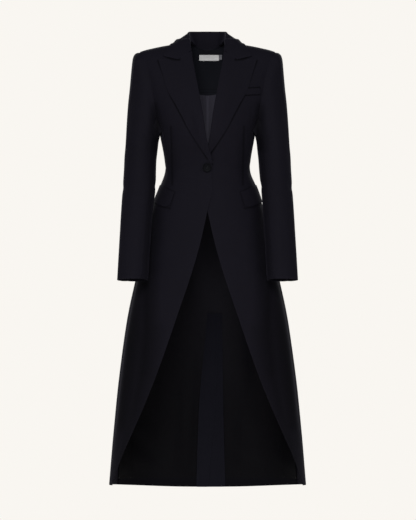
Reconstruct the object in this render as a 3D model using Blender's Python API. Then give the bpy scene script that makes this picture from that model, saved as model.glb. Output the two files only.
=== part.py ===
"""Long cutaway blazer, filled out as worn, built piece by piece as its maker cuts and sews it.

The front faces -Y, +Z is up and the wearer's left is +X. The origin lies on the shoulder seam
plane, between the shoulders at the height of the seam's inner end, where the wearer carries it.
Lengths in the tables are millimetres. Every body piece is a grid on one smooth body form,
given its cloth thickness along the form's own normals, so that neighbours stay parallel at
their seams. A height is a Z value, a reach is a distance from the centre on a piece's own side.
"""

from collections import namedtuple

import bmesh
import bpy
import numpy as np

MM = 0.001
CLOTH = 2.0
SEAM_GAP = 0.3
LINING_CLOTH = 1.0
LINING_CLEARANCE = 0.8
FOLD_RADIUS = 2.0
EDGE_CLEARANCE = 0.7
LABEL_CLEARANCE = 1.0
GORGE_GAP = 1.0
STAND_LEAST = 1.0
FOLD_REACH = 40.0
VENT_CLEARANCE = 1.1
UNDERARM = -253.0
SEAM_TOP = -243.0
NECK_POINT = (49.0, 9.0)
NECK_BACK_HEIGHT = -16.0
SHOULDER_TIP = (188.0, -21.0)
HEM_SIDE = -1231.0
HEM_DROP = 11.0
LINING_END = -1216.0
VENT_TOP = -764.0
FACING_ROWS = 7
LEFT, RIGHT = 1, -1
SIDE_NAMES = {LEFT: "left", RIGHT: "right"}

# The body form: half width and depths of the ring at each height, inside of the shell
Section = namedtuple("Section", "height half_width front_depth back_depth squareness")
SECTIONS = (
    Section(14, 20, 14, 20, 2.4),
    Section(9, 49, 20, 26, 2.4),
    Section(3.5, 75, 28, 36, 2.4),
    Section(-1, 98, 34, 43, 2.4),
    Section(-5, 122, 39, 48, 2.4),
    Section(-10.4, 148, 46, 53, 2.4),
    Section(-16, 172, 52, 58, 2.4),
    Section(-21, 188, 57, 62, 2.4),
    Section(-29, 203, 63, 68, 2.4),
    Section(-42, 205, 71, 76, 2.4),
    Section(-75, 197, 90, 91, 2.4),
    Section(-112, 185, 107, 103, 2.4),
    Section(-150, 169, 120, 110, 2.4),
    Section(-190, 153, 129, 112, 2.4),
    Section(-222, 140, 132, 111, 2.4),
    Section(-253, 131, 130, 107, 2.4),
    Section(-288, 125, 122, 101, 2.4),
    Section(-322, 119, 110, 95, 2.4),
    Section(-339, 117.6, 106, 93.5, 2.4),
    Section(-356, 118.4, 106, 94.5, 2.4),
    Section(-372, 123.7, 109, 98, 2.38),
    Section(-389, 131.6, 113, 102, 2.36),
    Section(-423, 144.2, 119, 110, 2.34),
    Section(-462, 156, 124, 119, 2.32),
    Section(-507, 166, 129, 128, 2.3),
    Section(-588, 184, 138, 142, 2.27),
    Section(-664, 201, 148, 153, 2.25),
    Section(-753, 221, 157, 165, 2.2),
    Section(-888, 241, 167, 182, 2.2),
    Section(-1022, 256, 175, 196, 2.2),
    Section(-1156, 267.6, 180, 207, 2.2),
    Section(-1245, 274.5, 184, 214.5, 2.2),
)

# The inner edge of a front: neck, roll line, closed stretch, then the cutaway down to the hem
EdgePoint = namedtuple("EdgePoint", "height reach")
FRONT_EDGE = (
    EdgePoint(9, 49),
    EdgePoint(-39, 40.5),
    EdgePoint(-131, 24),
    EdgePoint(-195, 11.5),
    EdgePoint(-259, 0),
    EdgePoint(-330, -18),
    EdgePoint(-348, -14.5),
    EdgePoint(-367, -12.6),
    EdgePoint(-409, -12.6),
    EdgePoint(-442, -5.5),
    EdgePoint(-462, -0.5),
    EdgePoint(-526, 13.5),
    EdgePoint(-584, 28),
    EdgePoint(-655, 49.5),
    EdgePoint(-710, 68),
    EdgePoint(-777, 91),
    EdgePoint(-839, 112),
    EdgePoint(-901, 135),
    EdgePoint(-970, 160),
    EdgePoint(-1044, 191.5),
    EdgePoint(-1126, 228),
    EdgePoint(-1209, 259),
    EdgePoint(-1235, 267),
)

# How far the right front and its lapel are lifted where they lap over the left
LapPoint = namedtuple("LapPoint", "height lift")
LAP_LIFT = (
    LapPoint(-165, 0),
    LapPoint(-228, 7.0),
    LapPoint(-336, 7.0),
    LapPoint(-385, 3.4),
    LapPoint(-470, 3.4),
    LapPoint(-530, 0),
)
LAP_FULL, LAP_END = 14.0, 46.0

# Armhole edges seen from the front and from the back
FRONT_ARMHOLE = (
    EdgePoint(-21, 188),
    EdgePoint(-30, 182.5),
    EdgePoint(-42, 176),
    EdgePoint(-75, 165),
    EdgePoint(-112, 156),
    EdgePoint(-150, 148.5),
    EdgePoint(-190, 141),
    EdgePoint(-222, 133.5),
)
BACK_ARMHOLE = (
    EdgePoint(-21, 188),
    EdgePoint(-30, 183.5),
    EdgePoint(-42, 178),
    EdgePoint(-75, 168),
    EdgePoint(-112, 159),
    EdgePoint(-150, 150.5),
    EdgePoint(-190, 142),
    EdgePoint(-222, 132.5),
)

# Where the long seams run round the body, in degrees from the centre front
SeamPoint = namedtuple("SeamPoint", "height front_side side_back")
SEAMS = (
    SeamPoint(-243, 66, 114),
    SeamPoint(-275, 64, 115),
    SeamPoint(-311, 68, 116),
    SeamPoint(-339, 72, 117),
    SeamPoint(-406, 76, 116),
    SeamPoint(-500, 79, 117),
    SeamPoint(-700, 84, 122),
    SeamPoint(-1000, 92, 127),
    SeamPoint(-1245, 98, 130),
)

UPPER_ROWS = (0, 0.013, 0.045, 0.1, 0.18, 0.28, 0.4, 0.52, 0.68, 0.84, 1)
LOWER_ROWS = (-280, -310, -339, -362, -386, -410, -438, -466, -505, -560, -624, -694, VENT_TOP,
              -850, -950, -1060, -1150, LINING_END)
FRONT_COLUMNS = 9
NECK_COLUMNS = 3
SIDE_COLUMNS = 4

# The soft flares of the skirt, growing from nothing to the hem
RIPPLE_START, RIPPLE_DEPTH, RIPPLE_WAVES = -600.0, 0.032, 3

# Lapel outline on a front, and its height over the body form down its length
LAPEL_NOTCH = (80.0, -45.0)
LAPEL_GORGE = (44.0, -22.5)
LAPEL_OUTER = (
    EdgePoint(-44, 136.5),
    EdgePoint(-66, 129),
    EdgePoint(-125, 111),
    EdgePoint(-160, 95),
    EdgePoint(-194, 77),
    EdgePoint(-228, 58),
    EdgePoint(-266, 33),
    EdgePoint(-308, 4),
    EdgePoint(-328, -13),
)
LAPEL_END = (-17.5, -329.0)
LAPEL_ROWS = 13
LAPEL_COLUMNS = (3, 4)
LAPEL_HIGH, LAPEL_LOW = 5.2, 4.5
LAPEL_SWELL = 2.5

# Half the collar from its front end to the centre back: fold line and leaf edge
CollarPoint = namedtuple("CollarPoint", "fold_x fold_y fold_z edge_x edge_y edge_z clearance seam")
COLLAR = (
    CollarPoint(44, -54, -21.5, 123, -58, -34.4, 4.6, 0),
    CollarPoint(47.5, -44, -5, 116, -50, -23, 4.2, 0.107),
    CollarPoint(50, -29, 10, 108, -34, -10, 3.8, 0.226),
    CollarPoint(51.8, -11, 24, 101.5, -13, 0, 3.4, 0.365),
    CollarPoint(52.2, 8, 34, 98, 10, 0, 3.4, 0.48),
    CollarPoint(50, 26, 37.5, 89, 38, -12, 3.4, 0.6),
    CollarPoint(41, 41, 38, 70, 56, -24, 3.4, 0.71),
    CollarPoint(24, 50, 38, 38, 66, -31, 3.4, 0.86),
    CollarPoint(0, 53, 38, 0, 70, -33, 3.4, 1),
)
COLLAR_STEPS = 2

# Sleeve cap: outer and underarm lines seen from the front, row by row from the armhole
CapRow = namedtuple("CapRow", "blend top_x top_z under_x under_z")
SLEEVE_CAP = (
    CapRow(0.05, 196, -22.5, 134.8, -252),
    CapRow(0.11, 204, -28, 135.1, -254),
    CapRow(0.18, 208.5, -39, 135.5, -256),
    CapRow(0.28, 211, -58, 136, -259),
    CapRow(0.42, 214, -92, 136.6, -262),
    CapRow(0.6, 218.5, -145, 137.2, -265),
    CapRow(0.8, 223.2, -205, 137.9, -269),
    CapRow(1.0, 227.6, -272, 138.6, -273),
)
SleeveRing = namedtuple("SleeveRing", "height centre_x centre_y half_width half_depth")
SLEEVE_RINGS = (
    SleeveRing(-272, 183.1, -6, 44.5, 61),
    SleeveRing(-310, 186, -17, 44.2, 59),
    SleeveRing(-356, 189.3, -34, 43.8, 56),
    SleeveRing(-400, 192.8, -52, 43, 53.5),
    SleeveRing(-423, 194.6, -62, 42.6, 52),
    SleeveRing(-460, 197.2, -75, 42.6, 50.5),
    SleeveRing(-500, 199.5, -88, 42.8, 49),
    SleeveRing(-557, 202.7, -105, 42.7, 46.5),
    SleeveRing(-624, 207, -123, 42.7, 44),
    SleeveRing(-657, 208.8, -131, 42.3, 43),
)
SLEEVE_ROWS = (-305, -340, -372, -405, -440, -480, -525, -590, -657)
CUFF_TILT = 4.0
CAP_FULLNESS = 6.0
FRONT_SEAM_STEP, BACK_SEAM_STEP = 3, 6

# Pocket flap corners, degrees round the body and heights
FLAP_FRONT, FLAP_BACK = 37.0, 100.0
FLAP_TOP = ((37, -413), (68, -399), (100, -393))
FLAP_DEPTH = 45.0
FLAP_GRID = (12, 4)
FLAP_LIFT, FLAP_CLOTH = 0.5, 1.8

# Chest welt on the left front: reach and heights
WELT_SPAN = (84.0, 145.0)
WELT_MIDDLE = (-134.5, -131.0)
WELT_HEIGHT = 16.0
WELT_LIFT, WELT_CLOTH = 0.7, 1.0

LABEL_CENTRE, LABEL_SIZE = (4.5, -36.0), (55.0, 19.0)
TAB_CENTRE, TAB_SIZE = (36.8, -34.0), (7.5, 16.0)

BUTTON_CENTRE = (-1.4, -344.0)
BUTTON_RADIUS, BUTTON_HEIGHT = 12.5, 4.2
BUTTON_CLEARANCE = 1.3

Finish = namedtuple("Finish", "red green blue roughness")
FINISHES = {
    "shell": Finish(0.0100, 0.0092, 0.0136, 0.85),
    "facing": Finish(0.0070, 0.0082, 0.0110, 0.80),
    "lining": Finish(0.0140, 0.0135, 0.0165, 0.45),
    "label": Finish(0.78, 0.78, 0.78, 0.60),
    "button": Finish(0.0080, 0.0080, 0.0110, 0.35),
}


def smooth_curve(stations, values):
    """Return a monotone cubic curve through a table's points as a function of one number."""
    order = np.argsort(stations)
    x = np.asarray(stations, float)[order]
    y = np.asarray(values, float)[order]
    step = np.diff(x)
    slope = np.diff(y) / step
    before, after = slope[:-1], slope[1:]
    same_way = before * after > 0
    weight_a = 2 * step[1:] + step[:-1]
    weight_b = step[1:] + 2 * step[:-1]
    safe_before = np.where(same_way, before, 1.0)
    safe_after = np.where(same_way, after, 1.0)
    inner = (weight_a + weight_b) / (weight_a / safe_before + weight_b / safe_after)
    tangent = np.concatenate(([slope[0]], np.where(same_way, inner, 0.0), [slope[-1]]))

    def curve(at):
        at = np.clip(np.asarray(at, float), x[0], x[-1])
        i = np.clip(np.searchsorted(x, at) - 1, 0, len(step) - 1)
        t = (at - x[i]) / step[i]
        rise = (y[i] * (1 + 2 * t) + step[i] * tangent[i] * t) * (1 - t) ** 2
        return rise + (y[i + 1] * (3 - 2 * t) - step[i] * tangent[i + 1] * (1 - t)) * t ** 2

    return curve


def column_curve(table, key, value):
    """Return the smooth curve of one named column of a table against another."""
    return smooth_curve([getattr(row, key) for row in table], [getattr(row, value) for row in table])


half_width = column_curve(SECTIONS, "height", "half_width")
front_depth = column_curve(SECTIONS, "height", "front_depth")
back_depth = column_curve(SECTIONS, "height", "back_depth")
squareness = column_curve(SECTIONS, "height", "squareness")
front_edge = column_curve(FRONT_EDGE, "height", "reach")
lap_height = column_curve(LAP_LIFT, "height", "lift")
front_side_seam = column_curve(SEAMS, "height", "front_side")
side_back_seam = column_curve(SEAMS, "height", "side_back")


def smooth_step(value):
    """Return 0 to 1 with level ends as value goes from 0 to 1."""
    value = np.clip(value, 0, 1)
    return value * value * (3 - 2 * value)


def unit(vectors):
    """Return vectors scaled to length 1."""
    length = np.linalg.norm(vectors, axis=-1, keepdims=True)
    return vectors / np.maximum(length, 1e-9)


def form_depth(share, height, back):
    """Return the ring's depth on one side, with the skirt's soft flares."""
    depth = np.where(back, back_depth(height), front_depth(height))
    grown = smooth_step((RIPPLE_START - height) / (RIPPLE_START - HEM_SIDE))
    return depth * (1 + RIPPLE_DEPTH * grown * np.cos(RIPPLE_WAVES * np.pi * share))


def on_form(x, height, back):
    """Return points of the body form at x and height, on its front or its back."""
    x, height, back = np.broadcast_arrays(np.asarray(x, float), height, back)
    share = np.clip(x / half_width(height), -1, 1)
    power = squareness(height)
    out = form_depth(share, height, back) * (1 - np.abs(share) ** power) ** (1 / power)
    return np.stack([x, np.where(back, out, -out), height], axis=-1)


def around(degrees, height):
    """Return x and the back flag at an angle from the centre front round a ring."""
    sine = np.sin(np.radians(degrees))
    share = np.sign(sine) * np.abs(sine) ** (2 / squareness(height))
    return half_width(height) * share, np.asarray(degrees) > 90


def angle_of(reach, height):
    """Return the angle from the centre front of a point on the front at a reach."""
    share = np.clip(reach / half_width(height), -1, 1)
    return np.degrees(np.arcsin(np.sign(share) * np.abs(share) ** (squareness(height) / 2)))


def outside(points):
    """Return how far the implicit form value lies over zero at points."""
    x, y, z = points[..., 0], points[..., 1], points[..., 2]
    share = x / half_width(z)
    depth = form_depth(np.clip(share, -1, 1), z, y > 0)
    power = squareness(z)
    return np.abs(share) ** power + np.abs(y / depth) ** power - 1


def form_gradient(points):
    """Return the slope of the form value at points."""
    step = 0.05
    slopes = []
    for axis in range(3):
        shift = np.zeros(3)
        shift[axis] = step
        slopes.append((outside(points + shift) - outside(points - shift)) / (2 * step))
    return np.stack(slopes, axis=-1)


def outward(points):
    """Return the form's outward normals at points."""
    return unit(form_gradient(points))


def push_out(points, clearance):
    """Move points that lie within a clearance of the form out to it."""
    for _ in range(4):
        gradient = form_gradient(points)
        steepness = np.linalg.norm(gradient, axis=-1)
        distance = outside(points) / np.maximum(steepness, 1e-9)
        lack = np.clip(clearance - distance, 0, 20)
        points = points + unit(gradient) * lack[..., None]
    return points


def hem_height(x):
    """Return the height of the hem at x, lowest at the centre back."""
    share = np.clip(np.abs(x) / half_width(HEM_SIDE), 0, 1)
    return HEM_SIDE - HEM_DROP * (1 - share ** 2)


def coons(top, bottom, first, last, across, down):
    """Blend four boundary curves, each a function of 0 to 1, into a grid of points."""
    u = np.asarray(across)[None, :, None]
    v = np.asarray(down)[:, None, None]
    ends = (1 - v) * top(across)[None] + v * bottom(across)[None]
    sides = (1 - u) * first(down)[:, None] + u * last(down)[:, None]
    corner_a = (1 - u) * (1 - v) * top(np.zeros(1)) + u * (1 - v) * top(np.ones(1))
    corner_b = (1 - u) * v * bottom(np.zeros(1)) + u * v * bottom(np.ones(1))
    return ends + sides - corner_a - corner_b


def along(points):
    """Return a polyline as a function of 0 to 1 over its length."""
    points = np.asarray(points, float)
    length = np.concatenate(([0], np.cumsum(np.linalg.norm(np.diff(points, axis=0), axis=1))))
    share = length / length[-1]

    def curve(at):
        return np.stack([np.interp(at, share, points[:, k]) for k in range(points.shape[1])], axis=-1)

    return curve


def shoulder_heights(reach):
    """Return the shoulder line's heights, the form's own top, at distances from the centre."""
    line = [(row.half_width, row.height) for row in SECTIONS[1:9]]
    return smooth_curve([r for r, _ in line], [h for _, h in line])(reach)


def front_points():
    """Return the grid of a left front on the form, from its inner edge to its side seam."""
    across = np.linspace(0, 1, FRONT_COLUMNS + 1)
    down = np.asarray(UPPER_ROWS)
    armhole = column_curve(FRONT_ARMHOLE + (armhole_end(front_side_seam),), "height", "reach")

    def top(u):
        reach = NECK_POINT[0] + (SHOULDER_TIP[0] - NECK_POINT[0]) * u
        return np.stack([reach, shoulder_heights(reach)], axis=-1)

    def bottom(u):
        height = UNDERARM + (SEAM_TOP - UNDERARM) * u ** 2
        start = angle_of(front_edge(UNDERARM), UNDERARM)
        angle = start + (front_side_seam(SEAM_TOP) - start) * u
        return np.stack([around(angle, height)[0], height], axis=-1)

    def inner(v):
        height = NECK_POINT[1] + (UNDERARM - NECK_POINT[1]) * v
        return np.stack([front_edge(height), height], axis=-1)

    def outer(v):
        height = SHOULDER_TIP[1] + (SEAM_TOP - SHOULDER_TIP[1]) * v
        return np.stack([armhole(height), height], axis=-1)

    upper = coons(top, bottom, inner, outer, across, down)
    rows = [on_form(upper[..., 0], upper[..., 1], False)]
    for height in [*LOWER_ROWS, None]:
        level = HEM_SIDE if height is None else height
        start = angle_of(front_edge(level), level)
        angle = start + (front_side_seam(level) - start) * across
        x, back = around(angle, level)
        z = hem_height(x) if height is None else np.full_like(x, level)
        rows.append(on_form(x, z, back)[None])
    return np.concatenate(rows)


def armhole_end(seam):
    """Return the armhole's last point, at the top of a side seam."""
    return EdgePoint(SEAM_TOP, float(around(seam(SEAM_TOP), SEAM_TOP)[0]))


def back_points():
    """Return the grid of a left back on the form, from the centre back to its side seam."""
    neck = np.linspace(0, 1, NECK_COLUMNS, endpoint=False)
    shoulder = np.linspace(0, 1, FRONT_COLUMNS + 1)
    total = NECK_COLUMNS + FRONT_COLUMNS
    across = np.linspace(0, 1, total + 1)
    down = np.asarray(UPPER_ROWS)
    armhole = column_curve(BACK_ARMHOLE + (armhole_end(side_back_seam),), "height", "reach")
    neck_rise = NECK_POINT[1] - NECK_BACK_HEIGHT
    top_reach = np.concatenate((NECK_POINT[0] * neck,
                                NECK_POINT[0] + (SHOULDER_TIP[0] - NECK_POINT[0]) * shoulder))

    def top(u):
        reach = np.interp(u, across, top_reach)
        neckline = NECK_BACK_HEIGHT + neck_rise * (reach / NECK_POINT[0]) ** 2
        height = np.where(reach < NECK_POINT[0], neckline, shoulder_heights(reach))
        return np.stack([reach, height], axis=-1)

    def bottom(u):
        height = UNDERARM + (SEAM_TOP - UNDERARM) * u ** 2
        angle = 180 + (side_back_seam(SEAM_TOP) - 180) * u
        return np.stack([around(angle, height)[0], height], axis=-1)

    def inner(v):
        height = NECK_BACK_HEIGHT + (UNDERARM - NECK_BACK_HEIGHT) * v
        return np.stack([np.zeros_like(height), height], axis=-1)

    def outer(v):
        height = SHOULDER_TIP[1] + (SEAM_TOP - SHOULDER_TIP[1]) * v
        return np.stack([armhole(height), height], axis=-1)

    upper = coons(top, bottom, inner, outer, across, down)
    rows = [on_form(upper[..., 0], upper[..., 1], True)]
    for height in [*LOWER_ROWS, None]:
        level = HEM_SIDE if height is None else height
        angle = 180 + (side_back_seam(level) - 180) * across
        x, back = around(angle, level)
        z = hem_height(x) if height is None else np.full_like(x, level)
        rows.append(on_form(x, z, back)[None])
    return np.concatenate(rows)


def side_points():
    """Return the grid of a left side panel, from the front seam round to the back seam."""
    across = np.linspace(0, 1, SIDE_COLUMNS + 1)
    rows = []
    for height in [SEAM_TOP, *LOWER_ROWS, None]:
        level = HEM_SIDE if height is None else height
        start, end = front_side_seam(level), side_back_seam(level)
        angle = start + (end - start) * across
        x, back = around(angle, level)
        z = hem_height(x) if height is None else np.full_like(x, level)
        if height == SEAM_TOP:
            scoop = 1 - (2 * across - 1) ** 2
            z = z + (UNDERARM - SEAM_TOP) * scoop
            x, back = around(angle, z)
        rows.append(on_form(x, z, back))
    return np.stack(rows)


def trimmed(points, edges="LRTB", amount=SEAM_GAP / 2):
    """Draw in the named edges of a grid by half a seam gap: left, right, top, bottom."""
    points = points.copy()
    for edge in edges:
        rim = {"L": np.s_[:, 0], "R": np.s_[:, -1], "T": np.s_[0], "B": np.s_[-1]}[edge]
        inside = {"L": np.s_[:, 1], "R": np.s_[:, -2], "T": np.s_[1], "B": np.s_[-2]}[edge]
        points[rim] = points[rim] + unit(points[inside] - points[rim]) * amount
    return points


def mirrored(points, side):
    """Return points on the wearer's left or, mirrored, on the right."""
    return points * np.array([side, 1, 1])


def lap_lift(points, side):
    """Return the lift of the right front's points where it laps over the left front."""
    if side == LEFT:
        return np.zeros(points.shape[:-1])
    reach = -points[..., 0]
    return lap_height(points[..., 2]) * smooth_step((LAP_END - reach) / (LAP_END - LAP_FULL))


def layer(points, low, high):
    """Return the inner and outer faces of cloth lying between two heights over the form."""
    normal = outward(points)
    return points + normal * np.asarray(low)[..., None], points + normal * np.asarray(high)[..., None]


def grid_normals(points):
    """Return the normals of a free sheet's grid of points."""
    return unit(np.cross(np.gradient(points, axis=1), np.gradient(points, axis=0)))


def sheet(points, thickness):
    """Return both faces of a free sheet with its middle on a grid of points."""
    normal = grid_normals(points)
    return points - normal * thickness / 2, points + normal * thickness / 2


def finish_material(name, finish):
    """Return a material of its own for one piece."""
    tone = FINISHES[finish]
    material = bpy.data.materials.new(name + "_" + finish)
    material.use_nodes = True
    shader = material.node_tree.nodes["Principled BSDF"]
    shader.inputs["Base Color"].default_value = (tone.red, tone.green, tone.blue, 1)
    shader.inputs["Roughness"].default_value = tone.roughness
    return material


def add_wall(collection, name, faces, finish):
    """Model a cloth wall: a grid sheet set on one face and extruded to the other."""
    near, far = faces
    rows, columns = near.shape[:2]
    shape = bmesh.new()
    bmesh.ops.create_grid(shape, x_segments=columns - 1, y_segments=rows - 1, size=1)
    shape.verts.ensure_lookup_table()
    for vertex, place in zip(shape.verts, near.reshape(-1, 3)):
        vertex.co = place * MM
    partner = {vertex: far.reshape(-1, 3)[i] * MM for i, vertex in enumerate(shape.verts)}
    copied = bmesh.ops.duplicate(shape, geom=shape.verts[:] + shape.edges[:] + shape.faces[:])
    twins = {old: copied["vert_map"][old] for old in partner}
    for old, twin in twins.items():
        twin.co = partner[old]
    for edge in [edge for edge in shape.edges if edge.is_boundary and edge.verts[0] in twins]:
        first, second = edge.verts
        shape.faces.new((first, second, twins[second], twins[first]))
    bmesh.ops.recalc_face_normals(shape, faces=shape.faces[:])
    mesh = bpy.data.meshes.new(name)
    shape.to_mesh(mesh)
    shape.free()
    mesh.shade_smooth()
    mesh.set_sharp_from_angle(angle=np.radians(40))
    mesh.materials.append(finish_material(name, finish))
    piece = bpy.data.objects.new(name, mesh)
    collection.objects.link(piece)
    return piece


def add_fronts(collection):
    """Model the two fronts, the right one lifted where it laps over the left."""
    for side in (LEFT, RIGHT):
        points = mirrored(trimmed(front_points(), "LRT"), side)
        lift = lap_lift(points, side)
        add_wall(collection, "front_" + SIDE_NAMES[side], layer(points, lift, lift + CLOTH), "shell")


def add_sides(collection):
    """Model the two side panels under the arms."""
    for side in (LEFT, RIGHT):
        points = mirrored(trimmed(side_points(), "LR"), side)
        add_wall(collection, "side_" + SIDE_NAMES[side], layer(points, 0, CLOTH), "shell")


def add_backs(collection):
    """Model the two backs, which meet at the centre back seam and its vent."""
    for side in (LEFT, RIGHT):
        points = mirrored(trimmed(back_points(), "LRT"), side)
        add_wall(collection, "back_" + SIDE_NAMES[side], layer(points, 0, CLOTH), "shell")


def fold_arc(start, up, across, radius=FOLD_RADIUS, steps=4):
    """Return the points of a half round fold that leaves start along up and turns across."""
    turn = np.linspace(0, np.pi, steps + 1)[:, None]
    return start + across * radius * (1 - np.cos(turn)) + up * radius * np.sin(turn)


def off_edge(edge, inside):
    """Return unit directions off a cloth's edge, square to it, given the points just inside."""
    tangent = unit(np.gradient(edge, axis=0))
    away = edge - inside
    return unit(away - tangent * np.sum(away * tangent, axis=-1, keepdims=True))


def lapel_points(side):
    """Return a lapel's middle surface: its roll round the front's edge, then its leaf."""
    near, far = LAPEL_COLUMNS
    down = np.linspace(0, 1, LAPEL_ROWS + 1) ** 0.9
    outer = along([(row.reach, row.height) for row in LAPEL_OUTER])
    tip = (LAPEL_OUTER[0].reach, LAPEL_OUTER[0].height)
    top_points = np.array([LAPEL_GORGE, LAPEL_NOTCH, tip])
    across = np.concatenate((np.linspace(0, 0.45, near + 1), np.linspace(0.45, 1, far + 1)[1:]))

    def top(u):
        return np.stack([np.interp(u, (0, 0.45, 1), top_points[:, k]) for k in range(2)], axis=-1)

    def bottom(u):
        last = np.array([LAPEL_OUTER[-1].reach, LAPEL_OUTER[-1].height])
        return np.array(LAPEL_END) + (last - LAPEL_END) * np.asarray(u)[:, None]

    def roll(v):
        height = LAPEL_GORGE[1] + (LAPEL_END[1] - LAPEL_GORGE[1]) * v
        return np.stack([front_edge(height), height], axis=-1)

    flat = coons(top, bottom, roll, outer, across, down)
    base = mirrored(on_form(flat[..., 0], flat[..., 1], False), side)
    lift = lap_lift(base, side)
    normal = outward(base)
    settle = smooth_step((-150 - flat[:, :1, 1]) / 75)
    high = LAPEL_HIGH + (LAPEL_LOW - LAPEL_HIGH) * settle
    belly = np.sin(np.pi * np.clip(across / 0.8, 0, 1)) * np.sin(np.pi * down)[:, None] * (1 - settle)
    leaf = base + normal * (lift + high + LAPEL_SWELL * belly)[..., None]
    inward = off_edge(base[:, 0], base[:, 1])
    start = base[:, 0] + normal[:, 0] * (lift[:, 0] + CLOTH / 2)[:, None] + inward * EDGE_CLEARANCE
    folds = []
    for row in range(len(down)):
        radius = (high[row, 0] - CLOTH / 2) / 2
        folds.append(fold_arc(start[row], inward[row], normal[row, 0], radius))
    return np.concatenate((np.stack(folds), leaf[:, 1:]), axis=1)


def add_lapels(collection):
    """Model the two peak lapels lying on the fronts."""
    for side in (LEFT, RIGHT):
        points = trimmed(lapel_points(side), "T", SEAM_GAP)
        add_wall(collection, "lapel_" + SIDE_NAMES[side], sheet(points, CLOTH), "shell")


def neck_seam():
    """Return the curve of the neck seam, front to back: its places and the directions off the cloth."""
    front = front_points()[:, :2]
    back = back_points()[0]
    front_rows = [row for row in range(len(UPPER_ROWS)) if front[row, 0, 2] > LAPEL_GORGE[1] + 2]
    gorge_height = LAPEL_GORGE[1] + GORGE_GAP
    gorge = on_form(front_edge(gorge_height), gorge_height, False)
    places = [gorge]
    insides = [on_form(gorge[0] + 10, gorge_height - 1, False)]
    for row in reversed(front_rows):
        places.append(front[row, 0])
        insides.append(front[row, 1])
    below = back_points()[1]
    for column in range(NECK_COLUMNS - 1, -1, -1):
        places.append(back[column])
        insides.append(below[column])
    places = np.array(places)
    return along(np.concatenate((places, off_edge(places, np.array(insides))), axis=1))


def turn_from(away, normal, direction, clearance=SEAM_GAP):
    """Return the step from a cloth's edge to the start of a piece that turns to a direction."""
    cosine = np.clip(np.sum(away * direction, axis=-1, keepdims=True), -1, 1)
    sine = np.sqrt(1 - cosine ** 2)
    way = np.sign(np.sum(normal * direction, axis=-1, keepdims=True))
    reach = CLOTH / 2 + SEAM_GAP
    return away * (clearance + reach * sine) + normal * way * reach * (1 - cosine)


def collar_points():
    """Return the middle surface of half the collar: stand, fold and leaf, front end to back."""
    table = np.array(COLLAR, float)
    stations = np.linspace(0, 1, (len(table) - 1) * COLLAR_STEPS + 1)
    marks = np.linspace(0, 1, len(table))
    rows = np.stack([smooth_curve(marks, table[:, k])(stations) for k in range(8)], axis=-1)
    fold, edge, clearance = push_out(rows[:, 0:3], LAPEL_HIGH), rows[:, 3:6], rows[:, 6]
    seam_along = neck_seam()
    near, far = LAPEL_COLUMNS
    share = np.concatenate((np.linspace(0, 0.45, near + 1), np.linspace(0.45, 1, far + 1)[1:]))[1:]
    sections = []
    half_turn = (1 - np.cos(np.linspace(0, np.pi, 5))) / 2
    turned = (LAPEL_HIGH - CLOTH / 2) * half_turn - FOLD_REACH * (1 - half_turn)
    for k, at in enumerate(stations):
        mixed = seam_along(rows[k:k + 1, 7])[0]
        place, away = mixed[:3], unit(mixed[3:])
        normal = outward(place)
        middle = place + normal * CLOTH / 2
        start = middle + turn_from(away, normal, unit(fold[k] - middle), EDGE_CLEARANCE)
        rise = np.linalg.norm(fold[k] - start)
        up = unit(fold[k] - start)
        flatness = smooth_step(at / 0.2)
        up = unit(away * (1 - flatness) + up * flatness)
        lean = edge[k] - fold[k]
        lean = lean * flatness + normal * 10 * (1 - flatness)
        cross = unit(lean - up * np.dot(lean, up))
        height = max((rise - FOLD_RADIUS) * flatness, STAND_LEAST)
        top = start + up * height
        stand = [start + (top - start) * part for part in (0, 0.5)]
        arc = push_out(fold_arc(top, up, cross), turned)
        leaf_start = arc[-1]
        target = edge[k]
        leaf = leaf_start + (target - leaf_start) * share[:, None]
        leaf[:, 2] += np.sin(np.pi * share) * 2.5 * flatness
        if k == 0:
            corner = np.array([LAPEL_NOTCH[0], LAPEL_NOTCH[1] + GORGE_GAP])
            edge_flat = np.array([edge[k][0], edge[k][2]])
            inner = np.array([leaf_start[0], LAPEL_GORGE[1] + GORGE_GAP])
            flat = np.stack([np.interp(share, (0, 0.45, 1), (inner[i], corner[i], edge_flat[i]))
                             for i in range(2)], axis=-1)
            leaf = on_form(flat[:, 0], flat[:, 1], False)
            leaf = leaf + outward(leaf) * clearance[k]
        else:
            gap = LAPEL_HIGH + (clearance[k] - LAPEL_HIGH) * share
            leaf = push_out(leaf, gap)
        sections.append(np.concatenate((np.array(stand), arc, leaf)))
    return np.stack(sections)


def add_collar(collection):
    """Model the collar round the neck from its two mirrored halves."""
    half = collar_points()
    other = half[::-1] * np.array([-1, 1, 1])
    whole = np.concatenate((half, other[1:]))
    add_wall(collection, "collar", sheet(whole, CLOTH), "shell")


def armhole_loop():
    """Return the armhole's edge from the shoulder down the front, under the arm and up the back."""
    front, side, back = front_points(), side_points(), back_points()
    last = len(UPPER_ROWS) - 1
    down_front = front[:last + 1, -1]
    off_front = front[:last + 1, -1] - front[:last + 1, -2]
    under = side[0, 1:-1]
    off_under = side[0, 1:-1] - side[1, 1:-1]
    up_back = back[last::-1, -1]
    off_back = back[last::-1, -1] - back[last::-1, -2]
    places = np.concatenate((down_front, under, up_back[:-1]))
    away = unit(np.concatenate((off_front, off_under, off_back[:-1])))
    keep = [k for k in range(len(places)) if k not in (1, len(places) - 1)]
    return places[keep], away[keep]


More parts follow.
